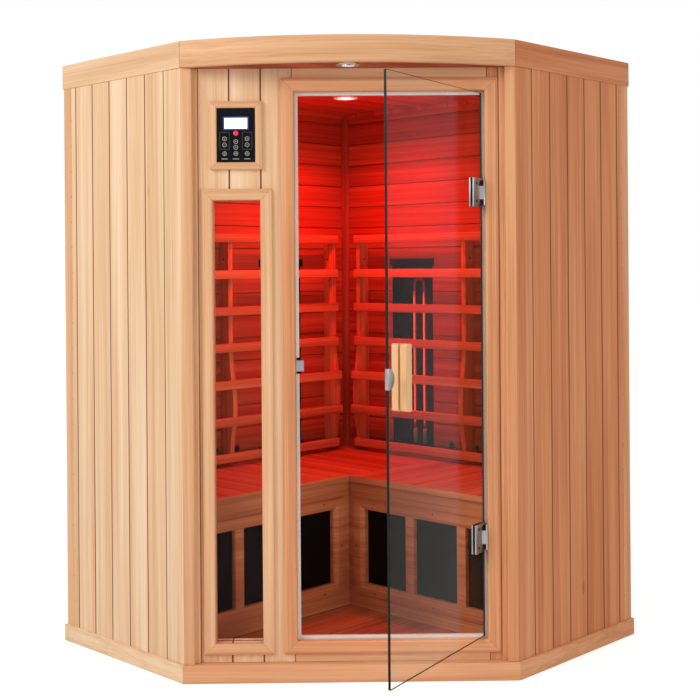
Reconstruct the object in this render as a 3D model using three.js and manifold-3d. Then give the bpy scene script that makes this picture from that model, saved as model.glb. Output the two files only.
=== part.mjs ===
// Five-sided corner infrared sauna cabin with a glass door, in millimetres, +Z up, front towards -Y.
// The plan is a square turned by 45 degrees with its front corner cut off. The origin is on the floor,
// at the centre of that square. The door is modelled open, as it is usually shown.

import * as THREE from 'three';
import { mergeVertices } from 'three/addons/utils/BufferGeometryUtils.js';
import Module from 'manifold-3d';

const wasm = await Module();
wasm.setup();

// Overall plan and height
const PLAN_SIDE = 1330;
const HEIGHT = 1900;
const FIT = 0.3;

// Base
const PLINTH_HEIGHT = 54;
const PLINTH_PROUD = 4;
const PLINTH_WIDTH = 32;

// Roof
const FASCIA_HEIGHT = 79;
const FASCIA_THICKNESS = 18;
const FASCIA_BOW = 96;
const ROOF_TOP_DROP = 6;
const CEILING_RECESS = 17;

// Walls of tongued boards
const WALL_SETBACK = 4;
const WALL_THICKNESS = 41;
const FRONT_RECESS = 27;
const FRONT_THICKNESS = 44;
const BOARD_PITCH = 94;
const INNER_BOARD_PITCH = 83;
const GROOVE_WIDTH = 5;
const GROOVE_DEPTH = 3;

// Front corner posts
const POST_FACE = 32;
const POST_FLANK = 81;
const BEAD_WIDTH = 16;
const BEAD_PROUD = 10;

// Doorway and its moulded frame
const DOORWAY_WIDTH = 567;
const DOOR_HEAD_MARGIN = 30;
const DOOR_SILL_MARGIN = 24;
const DOOR_JAMB_MARGIN = 2;
const DOOR_FRAME_WIDTH = 40;
const LINTEL_LAP = 8;
const FRAME_PROUD = 15;
const SEAL_WIDTH = 10;
const SEAL_DEPTH = 12;
const SEAL_SETBACK = 13;

// Glass door
const DOOR_OPEN_ANGLE = 57;
const DOOR_SETBACK = 10;
const DOOR_GLASS_THICKNESS = 8;
const DOOR_GLASS_GAP = 6;
const PIVOT_INSET = 18;

// Hinges
const HINGE_INSET = 304;
const HINGE_HEIGHT = 86;
const HINGE_REACH = 52;
const HINGE_PLATE_THICKNESS = 5;
const HINGE_TAIL = 7;
const HINGE_BLOCK_HEIGHT = 40;
const HINGE_BLOCK_HALF = 10;
const HINGE_PIN_RADIUS = 3;
const HINGE_PIN_CLEARANCE = 0.12;
const HINGE_WALL_PLATE = 5;
const HINGE_SWING_CLEARANCE = 0.6;

// Door handle, strike and catch
const HANDLE_WIDTH = 30;
const HANDLE_DEPTH = 22;
const HANDLE_HEIGHT = 180;
const HANDLE_EDGE_DISTANCE = 74;
const HANDLE_END_RADIUS = 11;
const HANDLE_GRIP_DEPTH = 4;
const STRIKE_RADIUS = 28;
const STRIKE_THICKNESS = 1.5;
const CATCH_PLATE_HEIGHT = 48;
const CATCH_BLOCK_HEIGHT = 33;
const CATCH_BLOCK_REACH = 24;
const CATCH_BLOCK_DEPTH = 16;
const CATCH_PLATE_THICKNESS = 2;
const CATCH_PLATE_DEPTH = 20;
const CATCH_GAP = 1;

// Side window
const WINDOW_WIDTH = 141;
const WINDOW_FRAME_WIDTH = 34;
const WINDOW_EDGE_MARGIN = 11;
const WINDOW_DOOR_GAP = 28;
const WINDOW_GLASS_THICKNESS = 6;

// Control panel above the window
const CONTROL_WIDTH = 156;
const CONTROL_HEIGHT = 200;
const CONTROL_DROP = 99;
const CONTROL_WINDOW_GAP = 59;
const CONTROL_PROUD = 17;
const FACEPLATE_WIDTH = 112;
const FACEPLATE_HEIGHT = 159;
const FACEPLATE_THICKNESS = 4;
const FACEPLATE_RECESS = 1;
const HOUSING_MARGIN = 6;
const HOUSING_DEPTH = 30;
const HOUSING_WALL = 2;
const DISPLAY_WIDTH = 68;
const DISPLAY_HEIGHT = 32;
const DISPLAY_RISE = 35;
const DISPLAY_THICKNESS = 3;
const KEY_RADIUS = 7;
const KEY_GAP = 0.25;
const KEY_LIP = 0.6;
const KEY_LIP_THICKNESS = 1.2;
const KEY_PROUD = 1.5;
const KEY_DISH = 0.3;
const KEY_COLUMN_SPACING = 33.5;
const KEY_LOW_ROW = -55;
const KEY_OUTER_ROWS = [-11, -29];
const KEY_MIDDLE_ROWS = [-19.5, -36.5];

// Corner bench
const SEAT_HEIGHT = 454;
const SEAT_DEPTH = 500;
const SEAT_THICKNESS = 21;
const NOSING_DEPTH = 18;
const SKIRT_SETBACK = 20;
const SKIRT_THICKNESS = 18;
const PANE_COUNT = 3;
const PANE_BOTTOM = 87;
const PANE_TOP_DROP = 93;
const PANE_STILE = 48;
const PANE_RAIL = 38;
const PANE_MULLION = 36;
const PANE_CORNER_MARGIN = 28;
const PANE_END_MARGIN = 12;
const PANE_FRAME_PROUD = 10;
const PANE_SPLAY = 14;
const BENCH_HEATER_THICKNESS = 8;

// Backrests
const SLAT_COUNT = 7;
const SLAT_PITCH = 132.5;
const SLAT_HEIGHT = 32;
const SLAT_THICKNESS = 18;
const SLAT_SEAT_GAP = 16;
const BACKREST_START = 107;
const BACKREST_END_GAP = 53;
const SUPPORT_COUNT = 3;
const SUPPORT_WIDTH = 20;
const SUPPORT_DEPTH = 50;
const SUPPORT_HOUSING = 1;
const LUMBAR_SWELL = 23;
const LUMBAR_CENTRE = 217;
const LUMBAR_REACH = 215;

// Wall heaters behind the backrests
const HEATER_CENTRE = 355;
const HEATER_WIDTH = 206;
const HEATER_RISE = 16;
const HEATER_HEIGHT = 734;
const HEATER_DEPTH = 36;
const HEATER_SHEET = 2;
const HEATER_CAP_HEIGHT = 27;
const HEATER_CAP_OVERHANG = 8;
const HEATER_CAP_PROUD = 6;
const HEATER_RIB_COUNT = 6;
const HEATER_RIB_RISE = 4;
const TUBE_RADIUS = 5;
const TUBE_SPACING = 48;
const TUBE_OFFSET = 20;
const TUBE_TOP_GAP = 50;
const TUBE_STEPS = 10;

// Recessed lamps
const LAMP_SEGMENTS = 28;
const SOFFIT_LAMP_RADIUS = 36;
const SOFFIT_LAMP_REACH = 42;
const CEILING_LAMP_RADIUS = 44;
const CEILING_LAMP_SETBACK = 731;
const LAMP_RIM = 12;
const LAMP_FLANGE = 3;
const LAMP_SLEEVE_DEPTH = 22;
const LAMP_SLEEVE_WALL = 3;
const LAMP_LENS_RECESS = 3;
const LAMP_LENS_THICKNESS = 4;

// Inner corner trim
const CORNER_TRIM_WIDTH = 22;

// Facets on round pieces
const ROUND_SEGMENTS = 24;
const BOW_SEGMENTS = 24;
const PROFILE_STEPS = 16;

// Levels worked out from the sizes above
const FLOOR = PLINTH_HEIGHT;
const SOFFIT = HEIGHT - FASCIA_HEIGHT;
const CEILING = SOFFIT + CEILING_RECESS;
const SEAT = FLOOR + SEAT_HEIGHT;
const SEAT_UNDERSIDE = SEAT - SEAT_THICKNESS;

// Layout of the front, from the left post to the right post
const WINDOW_OUTER = WINDOW_WIDTH + 2 * WINDOW_FRAME_WIDTH;
const DOOR_OUTER = DOORWAY_WIDTH + 2 * DOOR_FRAME_WIDTH;
const FRONT_CLEAR = WINDOW_EDGE_MARGIN + WINDOW_OUTER + WINDOW_DOOR_GAP + DOOR_OUTER + DOOR_JAMB_MARGIN;
const FRONT_EDGE = FRONT_CLEAR / 2;
const POST_INNER = FRONT_EDGE + BEAD_WIDTH;
const POST_CORNER = POST_INNER + POST_FACE;
const ROOT2 = Math.SQRT2;
const WALL_LINE = PLAN_SIDE / 2 - WALL_SETBACK;
const INNER_LINE = WALL_LINE - WALL_THICKNESS;
const POST_LINE = WALL_LINE * ROOT2 - POST_CORNER;
const FRONT_REACH = POST_LINE + WALL_SETBACK;
const FRONT_FACE = FRONT_RECESS - FRONT_REACH;
const FRONT_INNER = FRONT_FACE + FRONT_THICKNESS;
const REAR_CORNER = INNER_LINE * ROOT2;
const ROOM_SIDE = 2 * INNER_LINE;
const ROOM_DIAGONAL = (REAR_CORNER - FRONT_INNER) * ROOT2;
const HEATER_BOTTOM = SEAT + HEATER_RISE;
const HEATER_TOP = HEATER_BOTTOM + HEATER_HEIGHT;
const SOFFIT_LAMP_Y = -FRONT_REACH - SOFFIT_LAMP_REACH;
const CEILING_LAMP_Y = FRONT_INNER + CEILING_LAMP_SETBACK;

// Places of the openings in the front
const WINDOW_LEFT = -FRONT_EDGE + WINDOW_EDGE_MARGIN + WINDOW_FRAME_WIDTH;
const WINDOW_RIGHT = WINDOW_LEFT + WINDOW_WIDTH;
const WINDOW_CENTRE = (WINDOW_LEFT + WINDOW_RIGHT) / 2;
const FRAME_BOTTOM = PLINTH_HEIGHT + DOOR_SILL_MARGIN;
const DOOR_RIGHT = FRONT_EDGE - DOOR_JAMB_MARGIN - DOOR_FRAME_WIDTH;
const DOOR_LEFT = DOOR_RIGHT - DOORWAY_WIDTH;
const DOOR_BOTTOM = FRAME_BOTTOM + DOOR_FRAME_WIDTH;
const DOOR_TOP = SOFFIT - DOOR_HEAD_MARGIN - DOOR_FRAME_WIDTH;
const DOOR_MIDDLE = (DOOR_BOTTOM + DOOR_TOP) / 2;
const DOOR_PLANE = FRONT_FACE - FRAME_PROUD + DOOR_SETBACK;
const CONTROL_TOP = SOFFIT - CONTROL_DROP;
const CONTROL_CENTRE = CONTROL_TOP - CONTROL_HEIGHT / 2;
const PLATE_FRONT = FRONT_FACE - CONTROL_PROUD + FACEPLATE_RECESS;
const PLATE_BACK = PLATE_FRONT + FACEPLATE_THICKNESS;
const HOUSING_WIDTH = FACEPLATE_WIDTH - 2 * HOUSING_MARGIN;
const HOUSING_HEIGHT = FACEPLATE_HEIGHT - 2 * HOUSING_MARGIN;
const HOUSING_BACK = PLATE_BACK + HOUSING_DEPTH;
const WINDOW_BOTTOM = FRAME_BOTTOM + WINDOW_FRAME_WIDTH;
const WINDOW_TOP = CONTROL_TOP - CONTROL_HEIGHT - CONTROL_WINDOW_GAP - WINDOW_FRAME_WIDTH;

// Plan outline of the room in a wing's frame, kept clear of the wall faces
const WING_ROOM = [
  [FIT, FIT], [ROOM_SIDE - FIT, FIT], [ROOM_SIDE - FIT, ROOM_DIAGONAL - ROOM_SIDE - FIT],
  [ROOM_DIAGONAL - ROOM_SIDE - FIT, ROOM_SIDE - FIT], [FIT, ROOM_SIDE - FIT],
];

// Materials
const paleWood = new THREE.MeshStandardMaterial({ color: 0xe6bb90, roughness: 0.6 });
const handleWood = new THREE.MeshStandardMaterial({ color: 0xefcd9b, roughness: 0.55 });
const benchWood = new THREE.MeshStandardMaterial({ color: 0xd9a678, roughness: 0.62 });
const clearGlass = new THREE.MeshStandardMaterial({
  color: 0xcfe3de, roughness: 0.05, transparent: true, opacity: 0.3,
});
const satinSteel = new THREE.MeshStandardMaterial({ color: 0xb9bbbd, roughness: 0.32, metalness: 1 });
const polishedChrome = new THREE.MeshStandardMaterial({ color: 0xd8d8da, roughness: 0.12, metalness: 1 });
const sealGrey = new THREE.MeshStandardMaterial({ color: 0xc4c4c6, roughness: 0.7 });
const blackPlastic = new THREE.MeshStandardMaterial({ color: 0x0c0c0d, roughness: 0.35 });
const blackHeater = new THREE.MeshStandardMaterial({ color: 0x100c0a, roughness: 0.55 });
const blackSheet = new THREE.MeshStandardMaterial({ color: 0x15120f, roughness: 0.4, metalness: 0.6 });
const redQuartz = new THREE.MeshStandardMaterial({ color: 0xff3018, roughness: 0.2, emissive: 0xff2010 });
const lampLens = new THREE.MeshStandardMaterial({ color: 0xfff4e8, roughness: 0.3, emissive: 0xff4030 });
const frostedLens = new THREE.MeshStandardMaterial({ color: 0xd9d6d0, roughness: 0.35 });
const displayGlass = new THREE.MeshStandardMaterial({ color: 0xe9f2ff, roughness: 0.1, emissive: 0xbfd8ff });
const keyGrey = new THREE.MeshStandardMaterial({ color: 0x2b2c2f, roughness: 0.45 });

// Solids: closed meshes that can be joined and cut
function solid(geometry) {
  const bare = geometry.index ? geometry.toNonIndexed() : geometry.clone();
  bare.deleteAttribute('normal');
  bare.deleteAttribute('uv');
  const merged = mergeVertices(bare, 1e-4);
  return new wasm.Manifold(new wasm.Mesh({
    numProp: 3,
    vertProperties: new Float32Array(merged.attributes.position.array),
    triVerts: new Uint32Array(merged.index.array),
  }));
}

function geometryOf(manifold) {
  const mesh = manifold.getMesh();
  const indexed = new THREE.BufferGeometry();
  indexed.setAttribute('position', new THREE.BufferAttribute(mesh.vertProperties, 3));
  indexed.setIndex(new THREE.BufferAttribute(mesh.triVerts, 1));
  const flat = indexed.toNonIndexed();
  flat.computeVertexNormals();
  return flat;
}

function joined(...geometries) {
  return geometryOf(geometries.map(solid).reduce((a, b) => a.add(b)));
}

function cut(geometry, ...tools) {
  return geometryOf(tools.map(solid).reduce((a, b) => a.subtract(b), solid(geometry)));
}

function common(geometry, other) {
  return geometryOf(solid(geometry).intersect(solid(other)));
}

// The same piece for the other hand, mirrored left to right
function mirrored(geometry) {
  const copy = geometry.index ? geometry.toNonIndexed() : geometry.clone();
  copy.scale(-1, 1, 1);
  const position = copy.attributes.position;
  for (let i = 0; i < position.count; i += 3) {
    const [x, y, z] = [position.getX(i), position.getY(i), position.getZ(i)];
    position.setXYZ(i, position.getX(i + 1), position.getY(i + 1), position.getZ(i + 1));
    position.setXYZ(i + 1, x, y, z);
  }
  copy.deleteAttribute('uv');
  copy.computeVertexNormals();
  return copy;
}

function vectors(points) {
  return points.map(([x, y]) => new THREE.Vector2(x, y));
}

function box(x0, x1, y0, y1, z0, z1) {
  const geometry = new THREE.BoxGeometry(x1 - x0, y1 - y0, z1 - z0);
  return geometry.translate((x0 + x1) / 2, (y0 + y1) / 2, (z0 + z1) / 2);
}

// A plan outline raised from one level to another
function prism(points, bottom, top) {
  const shape = new THREE.Shape(vectors(points));
  const geometry = new THREE.ExtrudeGeometry(shape, { depth: top - bottom, bevelEnabled: false });
  return geometry.translate(0, 0, bottom);
}

// A cross-section in Y and Z drawn out along X
function drawn(section, x0, x1) {
  const shape = new THREE.Shape(vectors(section));
  const geometry = new THREE.ExtrudeGeometry(shape, { depth: x1 - x0, bevelEnabled: false });
  const turn = new THREE.Matrix4().makeBasis(
    new THREE.Vector3(0, 1, 0), new THREE.Vector3(0, 0, 1), new THREE.Vector3(1, 0, 0),
  );
  return geometry.applyMatrix4(turn).translate(x0, 0, 0);
}

// An elevation outline in X and Z given a thickness from y0 to y1
function elevation(shape, y0, y1) {
  const geometry = new THREE.ExtrudeGeometry(shape, {
    depth: y1 - y0, bevelEnabled: false, curveSegments: PROFILE_STEPS,
  });
  return geometry.rotateX(Math.PI / 2).translate(0, y1, 0);
}

function rectanglePath(x0, x1, z0, z1) {
  return new THREE.Path(vectors([[x0, z0], [x1, z0], [x1, z1], [x0, z1]]));
}

// A moulding mitred round a rectangular opening in a wall face. The section is a clockwise list of
// [distance out from the opening's edge, height proud of the face].
function mitredFrame(x0, x1, z0, z1, face, section) {
  const corners = [[x0, z0, -1, -1], [x1, z0, 1, -1], [x1, z1, 1, 1], [x0, z1, -1, 1]];
  const position = [];
  for (const [x, z, sx, sz] of corners) {
    for (const [out, proud] of section) position.push(x + sx * out, face - proud, z + sz * out);
  }
  const index = [];
  const count = section.length;
  for (let corner = 0; corner < 4; corner += 1) {
    const here = corner * count;
    const next = ((corner + 1) % 4) * count;
    for (let i = 0; i < count; i += 1) {
      const j = (i + 1) % count;
      index.push(here + i, here + j, next + j, here + i, next + j, next + i);
    }
  }
  const geometry = new THREE.BufferGeometry();
  geometry.setAttribute('position', new THREE.Float32BufferAttribute(position, 3));
  geometry.setIndex(index);
  geometry.computeVertexNormals();
  return geometry;
}

// A turned piece about the Z axis, from a profile of [radius, height]
function turned(profile, segments) {
  const geometry = new THREE.LatheGeometry(vectors(profile), segments);
  return geometry.rotateX(Math.PI / 2);
}

function rod(radius, z0, z1, segments = ROUND_SEGMENTS) {
  return turned([[0, z0], [radius, z0], [radius, z1], [0, z1]], segments);
}

// A round tube along a path in a plane of constant y. Each path point is [x, z, outward x, outward z].
function sweptTube(path, y, radius) {
  const sides = PROFILE_STEPS;
  const position = [];
  for (const [x, z, outX, outZ] of path) {
    for (let i = 0; i < sides; i += 1) {
      const angle = (2 * Math.PI * i) / sides;
      const out = radius * Math.cos(angle);
      position.push(x + outX * out, y + radius * Math.sin(angle), z + outZ * out);
    }
  }
  const index = [];
  const last = (path.length - 1) * sides;
  for (let i = 0; i < sides; i += 1) {
    const j = (i + 1) % sides;
    for (let here = 0; here < last; here += sides) {
      const next = here + sides;
      index.push(here + i, next + i, here + j, here + j, next + i, next + j);
    }
    if (i > 0 && j > 0) index.push(0, i, j, last, last + j, last + i);
  }
  const geometry = new THREE.BufferGeometry();
  geometry.setAttribute('position', new THREE.Float32BufferAttribute(position, 3));
  geometry.setIndex(index);
  geometry.computeVertexNormals();
  return geometry;
}

// A moulding's section: square at its back, eased at the front edges
function mouldingSection(width, proud) {
  const ease = proud / 5;
  return [
    [0, 0], [0, proud - ease], [ease, proud], [width - 3 * ease, proud], [width, proud - 2 * ease], [width, 0],
  ];
}

// Plan outline of the cabin, drawn in from the fascia line: front left, front right, right, rear, left
function planOutline(inset) {
  const reach = (PLAN_SIDE / 2 - inset) * ROOT2;
  const front = FRONT_REACH - inset;
  return [[front - reach, -front], [reach - front, -front], [reach, 0], [0, reach], [-reach, 0]];
}

// Plan outline of the room between the inner wall faces, kept clear of them by a gap
function roomOutline(gap) {
  const reach = (INNER_LINE - gap) * ROOT2;
  const front = -FRONT_INNER - gap;
  return [[front - reach, -front], [reach - front, -front], [reach, 0], [0, reach], [-reach, 0]];
}

// Scene graph. Each wing is a frame at the rear inner corner with Y pointing into the room. In the left
// wing X runs along the back wall to the left corner, and the right wing holds mirrored pieces.
const cabin = new THREE.Group();
const leftWing = new THREE.Group();
leftWing.position.set(0, REAR_CORNER, 0);
leftWing.rotation.z = Math.PI * 1.25;
const rightWing = new THREE.Group();
rightWing.position.set(0, REAR_CORNER, 0);
rightWing.rotation.z = Math.PI * 0.75;
const door = new THREE.Group();
door.position.set(DOOR_RIGHT - PIVOT_INSET, DOOR_PLANE, 0);
door.rotation.z = THREE.MathUtils.degToRad(DOOR_OPEN_ANGLE);
cabin.add(leftWing, rightWing, door);

function add(parent, name, geometry, material) {
  const mesh = new THREE.Mesh(geometry, material);
  mesh.name = name;
  parent.add(mesh);
}

function addWingPair(name, geometry, material) {
  add(leftWing, `left_${name}`, geometry, material);
  add(rightWing, `right_${name}`, mirrored(geometry), material);
}

function addFrontPair(name, geometry, material) {
  add(cabin, `left_${name}`, geometry, material);
  add(cabin, `right_${name}`, mirrored(geometry), material);
}

function steps(first, pitch, last) {
  const list = [];
  for (let at = first; at < last; at += pitch) list.push(at);
  return list;
}

// A straight V-shaped cutter along X at a level, opening upwards (1) or downwards (-1)
function levelCutter(x0, x1, level, opening) {
  const half = GROOVE_WIDTH / 2;
  const over = level + opening * GROOVE_DEPTH;
  const section = [[0, level - opening * GROOVE_DEPTH], [half, level], [half, over], [-half, over], [-half, level]];
  return drawn(section, x0, x1);
}

// An upright V-shaped cutter into a face that looks towards -Y
function uprightCutter(x, face, bottom, top) {
  const half = GROOVE_WIDTH / 2;
  const over = face - GROOVE_DEPTH;
  const outline = [[x, face + GROOVE_DEPTH], [x - half, face], [x - half, over], [x + half, over], [x + half, face]];
  return prism(outline, bottom - GROOVE_DEPTH, top + GROOVE_DEPTH);
}

// A wall panel along X: the inner face at y = 0 has level board joints, the outer face upright ones
function boardedPanel(x0, x1, uprightJoints) {
  const half = GROOVE_WIDTH / 2;
  const levels = steps(FLOOR + INNER_BOARD_PITCH, INNER_BOARD_PITCH, SOFFIT - half);
  const innerEdge = levels.flatMap((z) => [[0, z - half], [-GROOVE_DEPTH, z], [0, z + half]]);
  const section = [
    [-WALL_THICKNESS, SOFFIT], [-WALL_THICKNESS, FLOOR], [0, FLOOR], ...innerEdge, [0, SOFFIT],
  ];
  const cutters = uprightJoints.map((x) => uprightCutter(x, -WALL_THICKNESS, FLOOR, SOFFIT));
  return cut(drawn(section, x0, x1), ...cutters);
}

function makeBase() {
  const ring = new THREE.Shape(vectors(planOutline(-PLINTH_PROUD)));
  ring.holes.push(new THREE.Path(vectors(planOutline(PLINTH_WIDTH - PLINTH_PROUD))));
  const plinth = new THREE.ExtrudeGeometry(ring, { depth: PLINTH_HEIGHT, bevelEnabled: false });
  add(cabin, 'base_plinth', plinth, paleWood);

  const deck = prism(planOutline(PLINTH_WIDTH - PLINTH_PROUD + FIT), 0, FLOOR);
  const reach = PLAN_SIDE / 2;
  const joints = steps(BOARD_PITCH / 2 - reach, BOARD_PITCH, reach)
    .map((at) => levelCutter(-2 * reach, 2 * reach, FLOOR, 1).translate(0, at, 0).rotateZ(Math.PI / 4));
  add(cabin, 'floor_deck', cut(deck, ...joints), benchWood);
}

// Side and back walls. The back panels run past the side panels' ends and meet in a mitre at the rear.
function makeWalls() {
  const outerSide = ROOM_SIDE + WALL_THICKNESS;
  const flankEnd = ROOT2 * (REAR_CORNER + POST_LINE) - outerSide - POST_FLANK;
  const sideJoints = steps(BOARD_PITCH, BOARD_PITCH, flankEnd).map((back) => flankEnd - back);
  const side = boardedPanel(FIT, flankEnd - FIT, sideJoints);
  addWingPair('side_panel', side.rotateZ(Math.PI / 2).translate(ROOM_SIDE, 0, 0), paleWood);

  const backJoints = steps(BOARD_PITCH / 2, BOARD_PITCH, outerSide - BOARD_PITCH / 2);
  const back = boardedPanel(-WALL_THICKNESS, outerSide, backJoints);
  const beyond = 2 * WALL_THICKNESS;
  const mitre = prism([
    [-beyond, -beyond], [FIT / ROOT2 - beyond, -beyond], [FIT / ROOT2 + beyond, beyond], [-beyond, beyond],
  ], 0, HEIGHT);
  const pocket = box(
    HEATER_CENTRE - HEATER_WIDTH / 2, HEATER_CENTRE + HEATER_WIDTH / 2, -HEATER_DEPTH, WALL_THICKNESS,
    HEATER_BOTTOM, HEATER_TOP,
  );
  addWingPair('back_panel', cut(back, mitre, pocket), paleWood);

  const trim = new THREE.Shape();
  trim.moveTo(FIT, FIT);
  trim.lineTo(CORNER_TRIM_WIDTH, FIT);
  trim.quadraticCurveTo(CORNER_TRIM_WIDTH, CORNER_TRIM_WIDTH, FIT, CORNER_TRIM_WIDTH);
  const trimGeometry = new THREE.ExtrudeGeometry(trim, {
    depth: SOFFIT - SEAT, bevelEnabled: false, curveSegments: PROFILE_STEPS / 2,
  });
  add(leftWing, 'rear_corner_trim', trimGeometry.translate(0, 0, SEAT), paleWood);
}

// Front wall with its doorway, window and control pocket, and the two corner posts that it stands between
function makeFront() {
  const wall = new THREE.Shape(vectors([
    [FIT - FRONT_EDGE, FLOOR], [FRONT_EDGE - FIT, FLOOR], [FRONT_EDGE - FIT, SOFFIT], [FIT - FRONT_EDGE, SOFFIT],
  ]));
  wall.holes.push(rectanglePath(DOOR_LEFT, DOOR_RIGHT, DOOR_BOTTOM, DOOR_TOP));
  wall.holes.push(rectanglePath(WINDOW_LEFT, WINDOW_RIGHT, WINDOW_BOTTOM, WINDOW_TOP));
  const joints = steps(BOARD_PITCH - FRONT_EDGE, BOARD_PITCH, DOOR_LEFT - DOOR_FRAME_WIDTH);
  joints.push(DOOR_LEFT - LINTEL_LAP, DOOR_RIGHT + LINTEL_LAP);
  const cutters = joints.map((x) => uprightCutter(x, FRONT_FACE, FLOOR, SOFFIT));
  const pocket = controlBox(HOUSING_WIDTH + 2 * FIT, HOUSING_HEIGHT + 2 * FIT, PLATE_BACK, HOUSING_BACK + FIT);
  add(cabin, 'front_panel', cut(elevation(wall, FRONT_FACE, FRONT_INNER), ...cutters, pocket), paleWood);

  const flank = POST_FLANK / ROOT2;
  const thick = WALL_THICKNESS / ROOT2;
  const beadFace = FRONT_FACE - BEAD_PROUD;
  const post = prism([
    [-POST_CORNER, -POST_LINE], [-POST_INNER, -POST_LINE], [-POST_INNER, beadFace], [-FRONT_EDGE, beadFace],
    [-FRONT_EDGE, FRONT_INNER], [-REAR_CORNER - FRONT_INNER, FRONT_INNER],
    [thick - POST_CORNER - flank, thick - POST_LINE + flank], [-POST_CORNER - flank, flank - POST_LINE],
  ], FLOOR, SOFFIT);
  addFrontPair('front_post', post, paleWood);

  const doorMoulding = mouldingSection(DOOR_FRAME_WIDTH, FRAME_PROUD);
  const doorFrame = mitredFrame(DOOR_LEFT, DOOR_RIGHT, DOOR_BOTTOM, DOOR_TOP, FRONT_FACE, doorMoulding);
  add(cabin, 'door_frame', doorFrame, paleWood);

  const windowMoulding = mouldingSection(WINDOW_FRAME_WIDTH, FRAME_PROUD);
  const windowFrame = mitredFrame(
    WINDOW_LEFT, WINDOW_RIGHT, WINDOW_BOTTOM, WINDOW_TOP, FRONT_FACE, windowMoulding,
  );
  add(cabin, 'window_frame', windowFrame, paleWood);
  const paneMiddle = (FRONT_FACE + FRONT_INNER) / 2;
  add(cabin, 'window_glass', box(
    WINDOW_LEFT + FIT, WINDOW_RIGHT - FIT,
    paneMiddle - WINDOW_GLASS_THICKNESS / 2, paneMiddle + WINDOW_GLASS_THICKNESS / 2,
    WINDOW_BOTTOM + FIT, WINDOW_TOP - FIT,
  ), clearGlass);
}

// Roof slab with a sunk ceiling, straight side fascias and a fascia bowed out over the front
function makeRoof() {
  const [corner] = planOutline(0);
  const half = -corner[0];
  const radius = (half ** 2 + FASCIA_BOW ** 2) / (2 * FASCIA_BOW);
  const centre = corner[1] - FASCIA_BOW + radius;
  const bowPoint = (r, angle) => [r * Math.sin(angle), centre - r * Math.cos(angle)];
  const bow = (r, from, to) => {
    const list = [];
    for (let i = 0; i <= BOW_SEGMENTS; i += 1) list.push(bowPoint(r, from + ((to - from) * i) / BOW_SEGMENTS));
    return list;
  };

  const end = Math.asin(half / radius) - FIT / radius;
  const inner = radius - FASCIA_THICKNESS;
  const front = prism([...bow(radius, -end, end), ...bow(inner, end, -end)], SOFFIT, HEIGHT);
  add(cabin, 'front_fascia', front, paleWood);

  const reach = (PLAN_SIDE / 2) * ROOT2;
  const fasciaLine = (PLAN_SIDE / 2 - FASCIA_THICKNESS) * ROOT2;
  const share = (fasciaLine + centre) / (half - corner[1] + centre);
  const side = prism([
    [-reach, 0], corner, [corner[0] * share, centre + (corner[1] - centre) * share],
    [-(fasciaLine + reach) / 2, (reach - fasciaLine) / 2],
  ], SOFFIT, HEIGHT);
  addFrontPair('fascia', side, paleWood);

  const slabLine = fasciaLine - FIT * ROOT2;
  const slabRadius = inner - FIT;
  const lean = slabLine - centre;
  const slabFront = (-lean - Math.sqrt(lean ** 2 - 2 * (slabLine ** 2 + centre ** 2 - slabRadius ** 2))) / 2;
  const slabEnd = Math.asin((slabLine + slabFront) / slabRadius);
  const slab = prism([
    [0, reach], [-(slabLine + reach) / 2, (reach - slabLine) / 2], ...bow(slabRadius, -slabEnd, slabEnd),
    [(slabLine + reach) / 2, (reach - slabLine) / 2],
  ], SOFFIT, HEIGHT - ROOF_TOP_DROP);
  const room = prism(roomOutline(0), SOFFIT - GROOVE_DEPTH, CEILING);
  const tallRoom = prism(roomOutline(0), SOFFIT, HEIGHT);
  const joints = steps(BOARD_PITCH / 2 - INNER_LINE, BOARD_PITCH, INNER_LINE)
    .map((at) => levelCutter(-2 * reach, 2 * reach, CEILING, -1).translate(0, at, 0).rotateZ(Math.PI / 4))
    .map((cutter) => common(cutter, tallRoom));
  const lamps = [
    lampHole(SOFFIT_LAMP_RADIUS).translate(0, SOFFIT_LAMP_Y, SOFFIT),
    lampHole(CEILING_LAMP_RADIUS).translate(0, CEILING_LAMP_Y, CEILING),
  ];
  add(cabin, 'roof_panel', cut(slab, room, ...joints, ...lamps), paleWood);
}

// Recessed lamps: a rim with a sleeve in the roof, and a lens held in the sleeve
function lampHole(radius) {
  return rod(radius - LAMP_RIM + LAMP_SLEEVE_WALL + FIT, -GROOVE_DEPTH, LAMP_SLEEVE_DEPTH + FIT, LAMP_SEGMENTS);
}

function makeLamp(name, radius, y, level, lensMaterial) {
  const bore = radius - LAMP_RIM;
  const sleeve = bore + LAMP_SLEEVE_WALL;
  const ease = LAMP_FLANGE / 2;
  const rim = turned([
    [bore, -LAMP_FLANGE], [radius - ease, -LAMP_FLANGE], [radius, -ease], [radius, 0], [sleeve, 0],
    [sleeve, LAMP_SLEEVE_DEPTH], [bore, LAMP_SLEEVE_DEPTH], [bore, -LAMP_FLANGE],
  ], LAMP_SEGMENTS);
  add(cabin, `${name}_bezel`, rim.translate(0, y, level), polishedChrome);
  const lensRadius = bore - FIT;
  const lens = turned([
    [0, LAMP_LENS_RECESS], [lensRadius * 0.7, LAMP_LENS_RECESS + LAMP_LENS_THICKNESS * 0.1],
    [lensRadius, LAMP_LENS_RECESS + LAMP_LENS_THICKNESS * 0.4],
    [lensRadius, LAMP_LENS_RECESS + LAMP_LENS_THICKNESS], [0, LAMP_LENS_RECESS + LAMP_LENS_THICKNESS],
  ], LAMP_SEGMENTS);
  add(cabin, `${name}_lens`, lens.translate(0, y, level), lensMaterial);
}

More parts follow.
